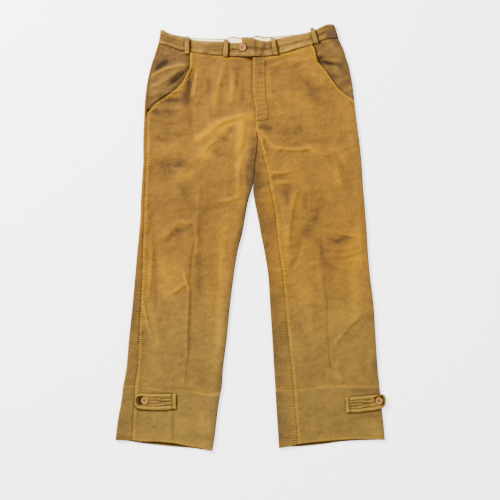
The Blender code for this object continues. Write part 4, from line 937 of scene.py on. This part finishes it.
# Waistband: each half runs from the centre back beneath, round the side, to the centre front,
# and the left half goes on as the extension that laps over the right one. Heights up it are mm
band = {
    "wall": 2.2, "rise": 0.9, "swell": 0.9, "groove": 1.5, "grooveAt": 16.2, "grooveWidth": 2.2,
    "underlap": 4, "extension": 24, "end": 26, "ramp": 14, "lap": 2.7, "step": 1.6, "across": 210,
    "slits": {-1: (-39.6, 451, 8, 1.5), 1: (-9.5, 455, 3.5, 1.6)},    # a buttonhole beside the button
    "seams": {-1: (12.96, 23.76), 1: (16.56, 28.8)},
    "creases": [
        (14, 428, 11, 482, 2, 5, -1.0), (25, 428, 38, 478, 2, 5, -1.0), (19, 430, 24, 480, 0, 4, 0.9),
        (44, 432, 45, 476, 0, 5, 0.8), (70, 440, 72, 480, 0, 5, -0.8), (112, 452, 110, 486, 0, 6, -0.6),
        (-82, 436, -84, 470, 0, 6, -0.7), (-40, 434, -39, 468, 0, 5, -0.8),
        (-112, 440, -113, 472, 0, 7, 0.6), (88, 446, 140, 476, 2, 5, 0.7),
        (-180, 470, -120, 455, 1, 4, 0.6),
    ],
}
# Belt loops: narrow strips, sewn down at both ends, that stand off the band between them
loops = {
    "width": 12, "length": 42, "wall": 1.5, "bulge": 2.6, "crown": 0.7, "lift": 0.5, "corner": 4.5,
    "places": [(-152, 482, -152, 440), (-58, 474, -60, 432), (53, 478, 61, 437), (147, 503, 158, 464)],
}


# One half's outer face; beyond the leg's own length its places run on along the extension
def onBand(s, places, proud=0):
    g = band
    x, y, z, _ = onLeg(s, places)
    rise = 0
    if s.leg["side"] > 0:
        reach = places - (s.length - g["extension"])
        past = reach > 0
        x = np.where(past, s.inner + (g["extension"] - reach), x)
        y = np.where(past, rowHeight(s.leg, s.row, x, False), y)
        z = np.where(past, s.middle, z)
        rise = g["lap"] * smoothStep((g["extension"] - x) / g["ramp"]) * past
    up = s.row - garment["waist"]
    height = g["rise"] + g["swell"] * np.sin(math.pi * np.clip(up / garment["bandDepth"], 0, 1))
    height = height - g["groove"] * ridge(up, g["grooveWidth"], g["grooveAt"])
    folds = creaseHeight(x, y, g["creases"])
    return x, y, z + topShare(z) * (height + folds + proud) + rise, folds


def layBand(leg):
    g, low, right = band, garment["waist"], leg["side"] < 0
    s = sectionsAt(leg, rowsBetween(low + 0.15, low + garment["bandDepth"], g["step"]))
    stop = s.length - g["underlap"] if right else s.length + g["end"]
    places = layColumns(s, 0.1 - s.length, stop, None, g["across"], None)
    x, y, z, folds = onBand(s, places)
    edges = [("tuck" if right else "free", fromEnds(places)[1], 1), *endEdges(s, "free", "waist")]
    height, marks = finishEdges(x, y, edges)
    onTop = topShare(z)
    z = z + onTop * height
    # painted shadows where layers stand off the band
    darken(marks, (z > 1.5) * paintedShadowsAt(x, y))
    holeX, holeY, halfX, halfY = g["slits"][leg["side"]]
    # the buttonhole is dipped and painted dark, as painted shade inside it
    hole = 0.95 * onTop * np.exp(-(((x - holeX) / halfX) ** 4) - ((y - holeY) / halfY) ** 2)
    darken(marks, hole)
    up, (lower, upper) = s.row - low, g["seams"][leg["side"]]
    seams = ridge(up, 2.1, lower) + 0.7 * ridge(up, 1.8, upper)
    darken(marks, 0.7 * onTop * seams * (0.7 + 0.8 * unevenness(x, y, 40, 60, 14.5)))
    for x0, y0, x1, y1 in loops["places"]:    # shade on both sides of each loop
        off = x - (x0 + (x1 - x0) * (y0 - y) / (y0 - y1))
        darken(marks, onTop * ridge(abs(off), 1.8, 7.2) * np.where(off > 0, 0.85, 0.55))
    tone = np.where(onTop > 0.5, wearAndShadingAt(x, y) + 0.3 * unevenness(x, y, 30, 14, 2.5), 0)
    marks["tone"] = tone + 0.25 * ridge(up, 5.04, 9) - 0.2 * smoothStep((abs(x) - 150) / 60)
    # the band's folds are painted into the crease mark, as painted highlight and shade
    marks["crease"] = folds / 3
    name, node = leg["name"] + "Waistband", "waistband_" + leg["name"]
    clothPiece(name, node, (x, y, z - 0.8 * hole), bandMustard, g["wall"], marks, not right)


# The band's cream inside, where it shows above the front
lining = {"low": 6, "high": 2.6, "step": 1.8, "side": 26, "across": 100, "lift": 3.9, "wall": 0.9}


def layLining(leg):
    g, low = lining, garment["waist"]
    top = low + garment["bandDepth"] - g["high"]
    s = sectionsAt(leg, rowsBetween(low + g["low"], top, g["step"]))
    side = s.length - 2 * s.quarter - g["side"]
    x = s.inner - s.inward * (side + (1 - side) * np.linspace(0, 1, g["across"]))
    y = rowHeight(leg, s.row, x, True)
    z = g["lift"] + 0.35 * unevenness(x, y, 12, 30, 6.5)
    name, node = leg["name"] + "Lining", "waistband_lining_" + leg["name"]
    clothPiece(name, node, (x, y, z), cream, g["wall"], {}, leg["side"] > 0)


for leg in (rightLeg, leftLeg):
    layBand(leg)
    layLining(leg)
print("waistband and lining laid")


# Heights of the finished cloth under what is sewn on it
def treesOf(pieces):
    graph = bpy.context.evaluated_depsgraph_get()
    return [BVHTree.FromObject(piece, graph) for piece in pieces]


def heightAt(trees, x, y):
    start = Vector((x * mm, y * mm, 0.1))
    hits = [tree.ray_cast(start, Vector((0, 0, -1)))[0] for tree in trees]
    return max((hit.z for hit in hits if hit), default=0) / mm


def heightsUnder(trees, x, y, reach=1.2):
    around = [(0, 0), (reach, 0), (-reach, 0), (0, reach), (0, -reach)]
    places = zip(x.ravel(), y.ravel())
    heights = [max(heightAt(trees, a + dx, b + dy) for dx, dy in around) for a, b in places]
    return np.array(heights).reshape(x.shape)


def sharesAcross(width, first, count):    # shares of a width, close together at both ends
    close = closeBy / width
    return np.concatenate([close, np.linspace(first, 1 - first, count), 1 - close[::-1]])


ground = treesOf(clothPieces)


# Fly strip: the doubled edge of the left front, down to the foot of its J stitch
fly = {
    "width": 29, "foot": 280, "curve": 25, "blunt": 0.97, "wall": 1.2, "lift": 0.25,
    "ripple": 0.2, "pitch": 11,
}


def layFly():
    g = fly
    s = sectionsAt(leftLeg, rowsBetween(g["foot"], garment["waist"] - 1.2, 1.8))
    turned = np.clip(1 - (s.row - g["foot"]) / g["curve"], 0, 1) * g["blunt"]
    width = g["width"] * (1 - turned**4) ** 0.25
    x = s.inner + 0.3 + (width - 0.3) * sharesAcross(g["width"], 0.13, 14)
    y = rowHeight(leftLeg, s.row, x, False)
    fromEdge = np.minimum(x - s.inner, s.inner + width - x)
    height, marks = finishEdges(x, y, [("free", fromEdge, 1), ("free", s.row - s.row[0], 1)])
    uneven = 2.5 * unevenness(x, y, 40, 30, 8.5)
    ripple = g["ripple"] * np.sin(2 * math.pi * (y + uneven) / g["pitch"]) * smoothStep(fromEdge / 6)
    z = heightsUnder(ground, x, y) + g["lift"] + g["wall"] + height + ripple
    seam, edge = 0.3 * marks["seam"], 0.6 * marks["edge"]
    # tone: wear with painted highlight and shade; the ripples are painted into the crease mark as painted
    # highlight and shade
    marks = {"tone": wearAndShadingAt(x, y), "crease": ripple, "seam": seam, "edge": edge}
    clothPiece("flyStrip", "fly_placket", (x, y, z), mustard, g["wall"], marks)


layFly()


def layLoop(number, place):
    g = loops
    x0, y0, x1, y1 = place
    share = sharesAcross(g["length"], 0.1, 22)[::-1].reshape(-1, 1)
    across = np.array([-1, -0.94, -0.84, -0.65, -0.4, -0.15, 0.15, 0.4, 0.65, 0.84, 0.94, 1])
    corner = np.clip(share * g["length"] / g["corner"], 0, 1)    # round where the top is folded over
    width = g["width"] * (0.55 + 0.45 * np.sqrt(1 - (1 - corner) ** 2))
    x = x0 + (x1 - x0) * share + across * width / 2 * (1 + 0.03 * np.sin(share * 9 + number))
    y = y0 + (y1 - y0) * share + 0.6 * across * math.sin(number * 2)
    under = heightsUnder(ground, x, y).max(axis=1, keepdims=True)
    under = np.maximum(under, np.roll(under, 3, axis=0) * 0.5 + np.roll(under, -3, axis=0) * 0.5)
    swell = 1 - (1 - np.sin(math.pi * share)) ** 2
    crown = g["crown"] * (1 - across**2) + 0.35 * ridge(abs(across), 0.2, 0.62)
    ends = [(1 - abs(across)) * g["width"] / 2, share * g["length"], (1 - share) * g["length"]]
    height, marks = finishEdges(x, y, [("free", away, 1) for away in ends])
    z = under + g["lift"] + g["wall"] + g["bulge"] * swell + crown + height
    # the loop's sides are painted dark as painted shade, and its crown lighter through the crease mark as
    # painted highlight
    marks.update(tone=-0.3, crease=crown - 0.4, slit=0.4 * smoothStep((abs(across) - 0.7) / 0.3))
    marks["edge"] = 0.2 * marks["edge"]
    name, node = f"beltLoop{number}", f"belt_loop_{number}"
    under = ["rightWaistband" if x0 < 0 else "leftWaistband"]
    clothPiece(name, node, (x, y, z), bandMustard, g["wall"], marks)


for number, place in enumerate(loops["places"], 1):
    layLoop(number, place)
print("fly strip and belt loops laid")


# Ankle tabs: a sewn end, a rounded tip, raised rims and a gaping buttonhole. An end is its x,
# top and foot, and the buttonhole its centre and its two half sizes
tabs = {
    "wall": 2.2, "lift": 1.2, "corner": 13, "rim": 1.4, "rimAt": 4.2, "groove": 1.0, "grooveAt": 9,
    "crestAt": 12.5, "creaseAt": 16.5, "foldAt": 9.8, "rows": (2.2, 6.0, 9.5),
    "right": {
        "sewn": (-178, -374, -411), "tip": (-277, -373, -411), "sag": 3, "lean": -1,
        "hole": (-262.5, -391.5, 13, 11),
    },
    "left": {
        "sewn": (228, -383, -421), "tip": (325, -374, -409), "sag": 2, "lean": 5,
        "hole": (309, -388.5, 12.5, 10.5),
    },
}


def layTab(leg):
    g, shape, toward = tabs, tabs[leg["name"]], leg["side"]
    (xSewn, topSewn, lowSewn), (xTip, topTip, lowTip) = shape["sewn"], shape["tip"]
    run = np.linspace(xSewn + toward * 4, xTip - toward * 13.5, 40)
    straight = np.concatenate([xSewn + toward * closeBy, run])
    turn = np.radians(np.linspace(4, 84, 14))
    stations = np.concatenate([straight, xTip - toward * g["corner"] * (1 - np.sin(turn))])
    inset = np.concatenate([0 * straight, g["corner"] * (1 - np.cos(turn))])
    if toward < 0:
        stations, inset = stations[::-1], inset[::-1]
    share = (stations - xSewn) / (xTip - xSewn)
    sag = shape["sag"] * np.sin(math.pi * np.clip(share, 0, 1))
    high = topSewn + (topTip - topSewn) * share - inset - 0.5 * sag
    low = lowSewn + (lowTip - lowSewn) * share + inset - sag
    v = sharesAcross(37, 0.1, 26).reshape(-1, 1)
    x = stations + 0 * v
    y = low + (high - low) * v
    away = np.minimum(y - low, high - y)
    fromSewn = abs(x - xSewn)
    fromEdge = np.minimum(away, fromSewn)
    height, marks = finishEdges(x, y, [("free", fromEdge, 1)])

    # two padded rims with a channel inside each, ridges between them, and the folded sewn end
    wobble = 2.2 * unevenness(x, y, 16, 60, 5.5)
    d = np.minimum(away, abs(xTip - x) + 1.5) + wobble
    slanting = d + 1.6 * np.sin((x - xSewn) / 13)
    main = smoothStep((fromSewn - 10) / 4)
    rim = g["rim"] * ridge(d, 2.8, g["rimAt"])
    channel = ridge(d, 1.3, g["grooveAt"])
    ridges = 0.7 * ridge(slanting, 1.8, g["crestAt"]) - 0.6 * ridge(slanting, 1.4, g["creaseAt"])
    lean = shape["lean"] * (v - 0.5)
    stub = 1.2 * np.exp(-(((fromSewn - 4.5 + lean) / 3.6) ** 4)) * smoothStep(away / 3)
    fold = ridge(fromSewn + lean, 1.6, g["foldAt"])
    holeX, holeY, halfX, halfY = shape["hole"]
    fromHole = np.hypot((x - holeX) / halfX, (y - holeY) / halfY)
    slit = np.exp(-(fromHole**4))
    lip = 0.7 * ridge(fromHole, 0.25, 1.25)
    ticks = 0.25 * np.sin(2 * math.pi * x / 4.2) * ridge(d, 3, g["rimAt"])
    base = heightsUnder(ground, x, y, 2.5)
    base = np.maximum(base, base.mean()) * 0.6 + base * 0.4
    z = base + g["lift"] + g["wall"] + height + main * (rim - g["groove"] * channel + ridges)
    z = z + stub - 1.2 * fold + lip + ticks * main - 2.0 * slit
    # painted shade in the channels, the sewn fold, the crease line, along the tab's own edge and in the
    # buttonhole
    dark = [
        0.5 * channel * main, 0.8 * fold, 0.35 * ridge(slanting, 1.3, g["creaseAt"]) * main,
        0.45 * ridge(fromEdge, 0.9), 1.25 * slit,
    ]
    marks = {
        "tone": 0.5 + 0.2 * wobble - 0.35 * smoothStep((d - 7) / 3), "seam": 0.6,
        # the relief is painted into the crease mark, as painted highlight and shade
        "crease": main * (rim - channel + ridges) + stub - 0.6 + 2 * ticks,
        "edge": np.maximum(marks["edge"], lip), "slit": np.clip(np.maximum.reduce(dark), 0, 1),
    }
    name, node = leg["name"] + "AnkleTab", "ankle_tab_" + leg["name"]
    clothPiece(name, node, (x, y, z), olive, g["wall"], marks)


layTab(rightLeg)
layTab(leftLeg)


# The brown patch over the left end of the waistband, and down the side fold
patch = {"x": 182, "top": 495.5, "foot": 479, "start": -1.0, "wall": 0.8, "proud": 1.7}


def layPatch():
    g = patch
    heights = np.linspace(g["foot"], g["top"], 14).reshape(-1, 1)
    rows = garment["waist"] + (heights - rowHeight(leftLeg, garment["waist"], g["x"], False))
    s = sectionsAt(leftLeg, rows)
    reach = abs(s.outer - g["x"]) - s.radius + s.quarter
    places = g["start"] + (reach - g["start"]) * np.linspace(0, 1, 22)
    x, _, z, _ = onBand(s, places, g["proud"])
    y = heights + 0 * x
    fromEdge = np.minimum(np.minimum(heights - g["foot"], g["top"] - heights), fromEnds(places)[1])
    height, _ = finishEdges(x, y, [("free", fromEdge, 1)])
    grid, under = (x, y, z + height), ["leftWaistband"]
    clothPiece("sidePatch", "side_patch", grid, patchCloth, g["wall"], {}, True)


layPatch()
print("ankle tabs and side patch laid")


# Sewing: one stitch, modelled once and laid along each line of the sewing in a joined mesh
stitch = {"length": 2.7, "width": 0.75, "height": 0.5, "pitch": 3.6, "proud": 0.08, "step": 2}
covered = treesOf(clothPieces)


def stitchShape():
    bpy.ops.object.select_all(action="DESELECT")
    lying = (0, math.pi / 2, 0)
    bpy.ops.mesh.primitive_uv_sphere_add(segments=6, ring_count=4, radius=0.5, rotation=lying)
    bpy.ops.object.transform_apply(location=True, rotation=True, scale=True)
    shape = bpy.context.object
    points = np.array([tuple(v.co) for v in shape.data.vertices])
    faces = [tuple(face.vertices) for face in shape.data.polygons]
    bpy.data.objects.remove(shape)
    return points * [stitch["length"], stitch["width"], stitch["height"]], faces


stitchPoints, stitchFaces = stitchShape()


# Makes one piece of many stitches, from the points of each
def joinStitches(name, points, yarn):
    count = len(stitchPoints)
    faces = [tuple(v + i * count for v in face) for i in range(len(points)) for face in stitchFaces]
    mesh = bpy.data.meshes.new(name)
    mesh.from_pydata((np.concatenate(points) * mm).tolist(), [], faces)
    mesh.shade_smooth()
    mesh.materials.append(plain[yarn])
    piece = bpy.data.objects.new(name, mesh)
    bpy.context.collection.objects.link(piece)
    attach(piece, "root")


# Points one stitch apart along a line of points
def paced(line, pitch):
    line = np.array(line, float)
    steps = np.hypot(*np.diff(line, axis=0).T)
    reach = np.concatenate([[0], np.cumsum(steps)])
    marks = np.arange(pitch / 2, reach[-1], pitch)
    return np.stack([np.interp(marks, reach, line[:, i]) for i in (0, 1)], axis=-1)


def sew(name, lines, yarn, pitch=stitch["pitch"], turned=0.0):
    points = []
    half = stitch["length"] / 2
    c, s = math.cos(turned), math.sin(turned)
    for line in lines:
        at = paced(line, pitch)
        for (x, y), (dx, dy) in zip(at, np.gradient(at, axis=0)):
            dx, dy = np.array([dx * c - dy * s, dx * s + dy * c]) / max(math.hypot(dx, dy), 1e-6)
            fore = heightAt(covered, x + dx * half, y + dy * half)
            aft = heightAt(covered, x - dx * half, y - dy * half)
            if abs(fore - aft) > stitch["step"] or min(fore, aft) < 1:    # a step, or off the cloth
                continue
            along = np.array([dx, dy, (fore - aft) / stitch["length"]])
            along /= np.linalg.norm(along)
            side = np.array([-along[1], along[0], 0])
            axes = np.stack([along, side, np.cross(along, side)])
            points.append(stitchPoints @ axes + [x, y, (fore + aft) / 2 + stitch["proud"]])
    joinStitches(name, points, yarn)


# A line of sewing at a distance from one of a leg's own lines, row by row
def byRow(leg, low, high, place, count=90):
    s = sectionsAt(leg, np.linspace(low, high, count))
    x, y, _, _ = onLeg(s, place(s))
    return np.concatenate([x, y], axis=1)


# A line of sewing along one row, between two shares of the leg's width
def byPlace(leg, row, first, last, count=90):
    s = sectionsAt(leg, [row])
    x, y, _, _ = onLeg(s, first(s) + (last(s) - first(s)) * np.linspace(0, 1, count))
    return np.concatenate([x, y]).T


def sewMouths():
    lines = []
    for leg in (rightLeg, leftLeg):
        for away in mouthRows["at"]:
            low = leg["mouthFoot"] + leg["mouthTurn"] + 2
            lines.append(byRow(leg, low, garment["waist"] - 2, lambda s: s.pocket + away))
    sew("mouthStitching", lines, "goldThread")


def sewBands():
    waist, lines = garment["waist"], []
    for leg in (rightLeg, leftLeg):
        inner = 27.5 if leg["side"] < 0 else 0    # the right half goes in beneath the extension
        for row in (waist + 2.6, waist + 17, waist + 33.4):
            lines.append(byPlace(leg, row, lambda s: s.quarter + 3, lambda s: s.length - inner))
    for y in (436, 476.5):
        lines.append([(5, y), (-18, y)])
    lines.append([(-17.6, 437.5), (-18.4, 475.5)])
    sew("waistStitching", lines, "goldThread")


def sewSeams():
    lines = []
    seam, hem = garment["bandSeam"], garment["hem"]
    for away in (-3.2, 3.2):
        lines.append(byRow(leftLeg, seam + 2, 236, lambda s: s.inseam + away, 240))
        lines.append(byRow(rightLeg, seam + 2, 282, lambda s: s.outseam + away, 260))
    for leg in (rightLeg, leftLeg):
        for row in (seam - 3, seam - 6, hem + 9):
            lines.append(byPlace(leg, row, lambda s: s.quarter + 2, lambda s: s.length - s.quarter - 2))
    sew("seamStitching", lines, "mustardThread")


def sewFly():
    s = sectionsAt(leftLeg, np.linspace(292, 428, 60))
    columns = [s.inner + 26, s.inner + 3]
    sides = [np.concatenate([x, rowHeight(leftLeg, s.row, x, False)], axis=1) for x in columns]
    foot = [(38.5, 292), (38, 284), (35, 279), (30, 277), (16, 276)]
    outer = [(40.5, 292), (40, 283), (36, 277), (30, 274.5), (16, 273.5)]
    sew("flyStitching", [*sides, foot, outer], "goldThread")


def sewTabs():
    corner, lines = tabs["corner"], []
    turn = np.radians(np.linspace(0, 90, 10))
    for leg in (rightLeg, leftLeg):
        shape, toward = tabs[leg["name"]], leg["side"]
        (xSewn, topSewn, lowSewn), (xTip, topTip, lowTip) = shape["sewn"], shape["tip"]
        for away in tabs["rows"]:
            across, up = (corner - away) * np.sin(turn), (corner - away) * np.cos(turn)
            x = xTip + toward * (across - corner)
            top = np.stack([x, topTip - corner + up], axis=-1)
            low = np.stack([x, lowTip + corner - up], axis=-1)
            start = (xSewn + toward * away, lowSewn + away)
            lines.append([start, (start[0], topSewn - away), *top, *low[::-1], start])
    sew("tabStitching", lines, "goldThread")


def sewLoops():
    edges, tacks = [], []
    for x0, y0, x1, y1 in loops["places"]:
        for across in (-3.9, 3.9):
            edges.append([(x0 + across, y0 - 2), (x1 + across, y1 + 2)])
        for y, x in ((y0 - 4.5, x0), (y1 + 4.5, x1)):
            tacks.append([(x - 4.5, y), (x + 4.5, y)])
    mouthTacks = [[(-247, 262), (-247, 290)], [(239, 322), (249, 312)]]
    sew("loopStitching", edges, "goldThread")
    sew("barTacks", tacks, "goldThread", pitch=0.8, turned=math.pi / 2)
    sew("mouthTacks", mouthTacks, "mustardThread", pitch=0.8, turned=math.pi / 2)


for sewAll in (sewMouths, sewBands, sewSeams, sewFly, sewTabs, sewLoops):
    sewAll()
print("sewing laid")


# Buttons: a dished face with four holes and a rim, sewn on with three strands each way
buttons = {
    "radius": 8.25, "thick": 2.9, "rim": 2.3, "slope": 1.9, "dish": 1.1, "backRim": 1.6, "back": 0.5,
    "round": 0.7, "hole": 0.95, "apart": 1.65, "tilt": 2.5, "turn": 0.5, "lift": 0.6, "dishReach": 4.3,
    "strands": (-0.5, 0, 0.5), "strandShape": (1.9, 0.9, 1.6), "strandTurn": 29, "strandLift": 0.15,
    "places": [
        ("waistButton", "waist_button", (-19, 455)),
        ("rightAnkleButton", "ankle_button_right", (-254, -391)),
        ("leftAnkleButton", "ankle_button_left", (308, -391)),
    ],
}


def pickFaces(piece, wanted):
    bpy.ops.object.mode_set(mode="EDIT")
    bpy.ops.mesh.select_mode(type="FACE")
    bpy.ops.mesh.select_all(action="DESELECT")
    bpy.ops.object.mode_set(mode="OBJECT")
    for face in piece.data.polygons:
        face.select = wanted(face)
    bpy.ops.object.mode_set(mode="EDIT")


def drillHole(button, x, y):
    size = {"vertices": 14, "radius": buttons["hole"] * mm, "depth": 9 * mm}
    bpy.ops.mesh.primitive_cylinder_add(location=(x * mm, y * mm, 0), **size)
    drill = bpy.context.object
    bpy.ops.object.select_all(action="DESELECT")
    button.select_set(True)
    bpy.context.view_layer.objects.active = button
    hole = button.modifiers.new("Hole", "BOOLEAN")
    hole.operation = "DIFFERENCE"
    hole.object = drill
    bpy.ops.object.modifier_apply(modifier=hole.name)
    bpy.data.objects.remove(drill)


def makeButton(name, node, place):
    g = buttons
    bpy.ops.object.select_all(action="DESELECT")
    bpy.ops.mesh.primitive_cylinder_add(vertices=40, radius=g["radius"] * mm, depth=g["thick"] * mm)
    button = bpy.context.object
    button.name = name
    button.data.materials.append(plain["buttonShell"])
    pickFaces(button, lambda face: face.normal.z > 0.9)
    bpy.ops.mesh.inset(thickness=g["rim"] * mm, depth=0)
    bpy.ops.mesh.inset(thickness=g["slope"] * mm, depth=-g["dish"] * mm)
    pickFaces(button, lambda face: face.normal.z < -0.9)
    bpy.ops.mesh.inset(thickness=g["backRim"] * mm, depth=-g["back"] * mm)
    bpy.ops.object.mode_set(mode="OBJECT")
    soft = button.modifiers.new("Soft edges", "BEVEL")
    soft.width = g["round"] * mm
    soft.segments = 3
    soft.limit_method = "ANGLE"
    bpy.ops.object.modifier_apply(modifier=soft.name)
    for sx, sy in ((-1, -1), (-1, 1), (1, -1), (1, 1)):
        drillHole(button, sx * g["apart"], sy * g["apart"])
    low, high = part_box(node)
    button.location = (place[0] * mm, place[1] * mm, 0.5 * (low.z + high.z) + g["lift"] * mm)
    button.rotation_euler = (math.radians(g["tilt"]), math.radians(-g["tilt"]), g["turn"])
    bpy.ops.object.transform_apply(location=True, rotation=True, scale=True)
    bpy.ops.object.shade_smooth_by_angle(angle=math.radians(35))
    button.data.materials.append(plain["buttonDish"])
    centre = Vector((place[0] * mm, place[1] * mm, 0))
    for face in button.data.polygons:
        inDish = (face.center - centre).to_2d().length < g["dishReach"] * mm
        face.material_index = 1 if inDish and face.normal.z > 0 else 0
    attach(button, "root")
    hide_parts(node)
    return button


def threadButton(name, button, place):
    g = buttons
    middle = sum((Vector(corner) for corner in button.bound_box), Vector()) / 8
    centre = np.array([*place, middle.z / mm + g["strandLift"]])
    turned = math.radians(g["strandTurn"])
    along = np.array([math.cos(turned), math.sin(turned), 0])
    side = np.array([-along[1], along[0], 0])
    axes = np.stack([along, side, [0, 0, 1]]) * np.reshape(g["strandShape"], (3, 1))
    offs = [across * g["apart"] + strand for across in (-1, 1) for strand in g["strands"]]
    points = [stitchPoints @ axes + side * off + centre for off in offs]
    joinStitches(name, points, "brownThread")


for name, node, place in buttons["places"]:
    threadButton(name + "Thread", makeButton(name, node, place), place)
print("buttons sewn on")


# Pale floor, one large soft lamp from the upper left, a weaker one opposite, and the camera above
studio = {
    "floor": (0.98, 0.98, 0.98), "glow": 1.4, "sky": (1.0, 1.0, 1.0, 1), "skyPower": 1.05,
    "keyLamp": {"at": (-2.1, 2.0, 1.9), "size": 1.2, "power": 500},
    "fillLamp": {"at": (1.9, -1.0, 2.2), "size": 2.2, "power": 50},
    "camera": {"at": (-0.0012, -0.030, 2.672), "lens": 80, "sensor": 36},
}


def softLamp(name):
    g = studio[name]
    bpy.ops.object.light_add(type="AREA", location=g["at"])
    lamp = bpy.context.object
    lamp.name = name
    lamp.data.size = g["size"]
    lamp.data.energy = g["power"]
    lamp.rotation_euler = (-Vector(g["at"])).to_track_quat("-Z", "Y").to_euler()


bpy.ops.object.select_all(action="DESELECT")
bpy.ops.mesh.primitive_plane_add(size=9, location=(0, 0, -0.0003))
floor = bpy.context.object
floor.name = "paleFloor"
floorPaint = plainMaterial("paleFloorPaint", studio["floor"], studio["floor"], 30, 0.9, 0.00001)
floorPaint.node_tree.nodes["Principled BSDF"].inputs["Emission Strength"].default_value = studio["glow"]
floor.data.materials.append(floorPaint)
softLamp("keyLamp")
softLamp("fillLamp")
sky = bpy.data.worlds.new("studioSky")
sky.use_nodes = True
sky.node_tree.nodes["Background"].inputs["Color"].default_value = studio["sky"]
sky.node_tree.nodes["Background"].inputs["Strength"].default_value = studio["skyPower"]
bpy.context.scene.world = sky

bpy.ops.object.camera_add(location=studio["camera"]["at"], rotation=(0, 0, 0))
camera = bpy.context.object
camera.data.lens = studio["camera"]["lens"]
camera.data.sensor_width = studio["camera"]["sensor"]
bpy.context.scene.camera = camera
print("floor, lamps and camera set")
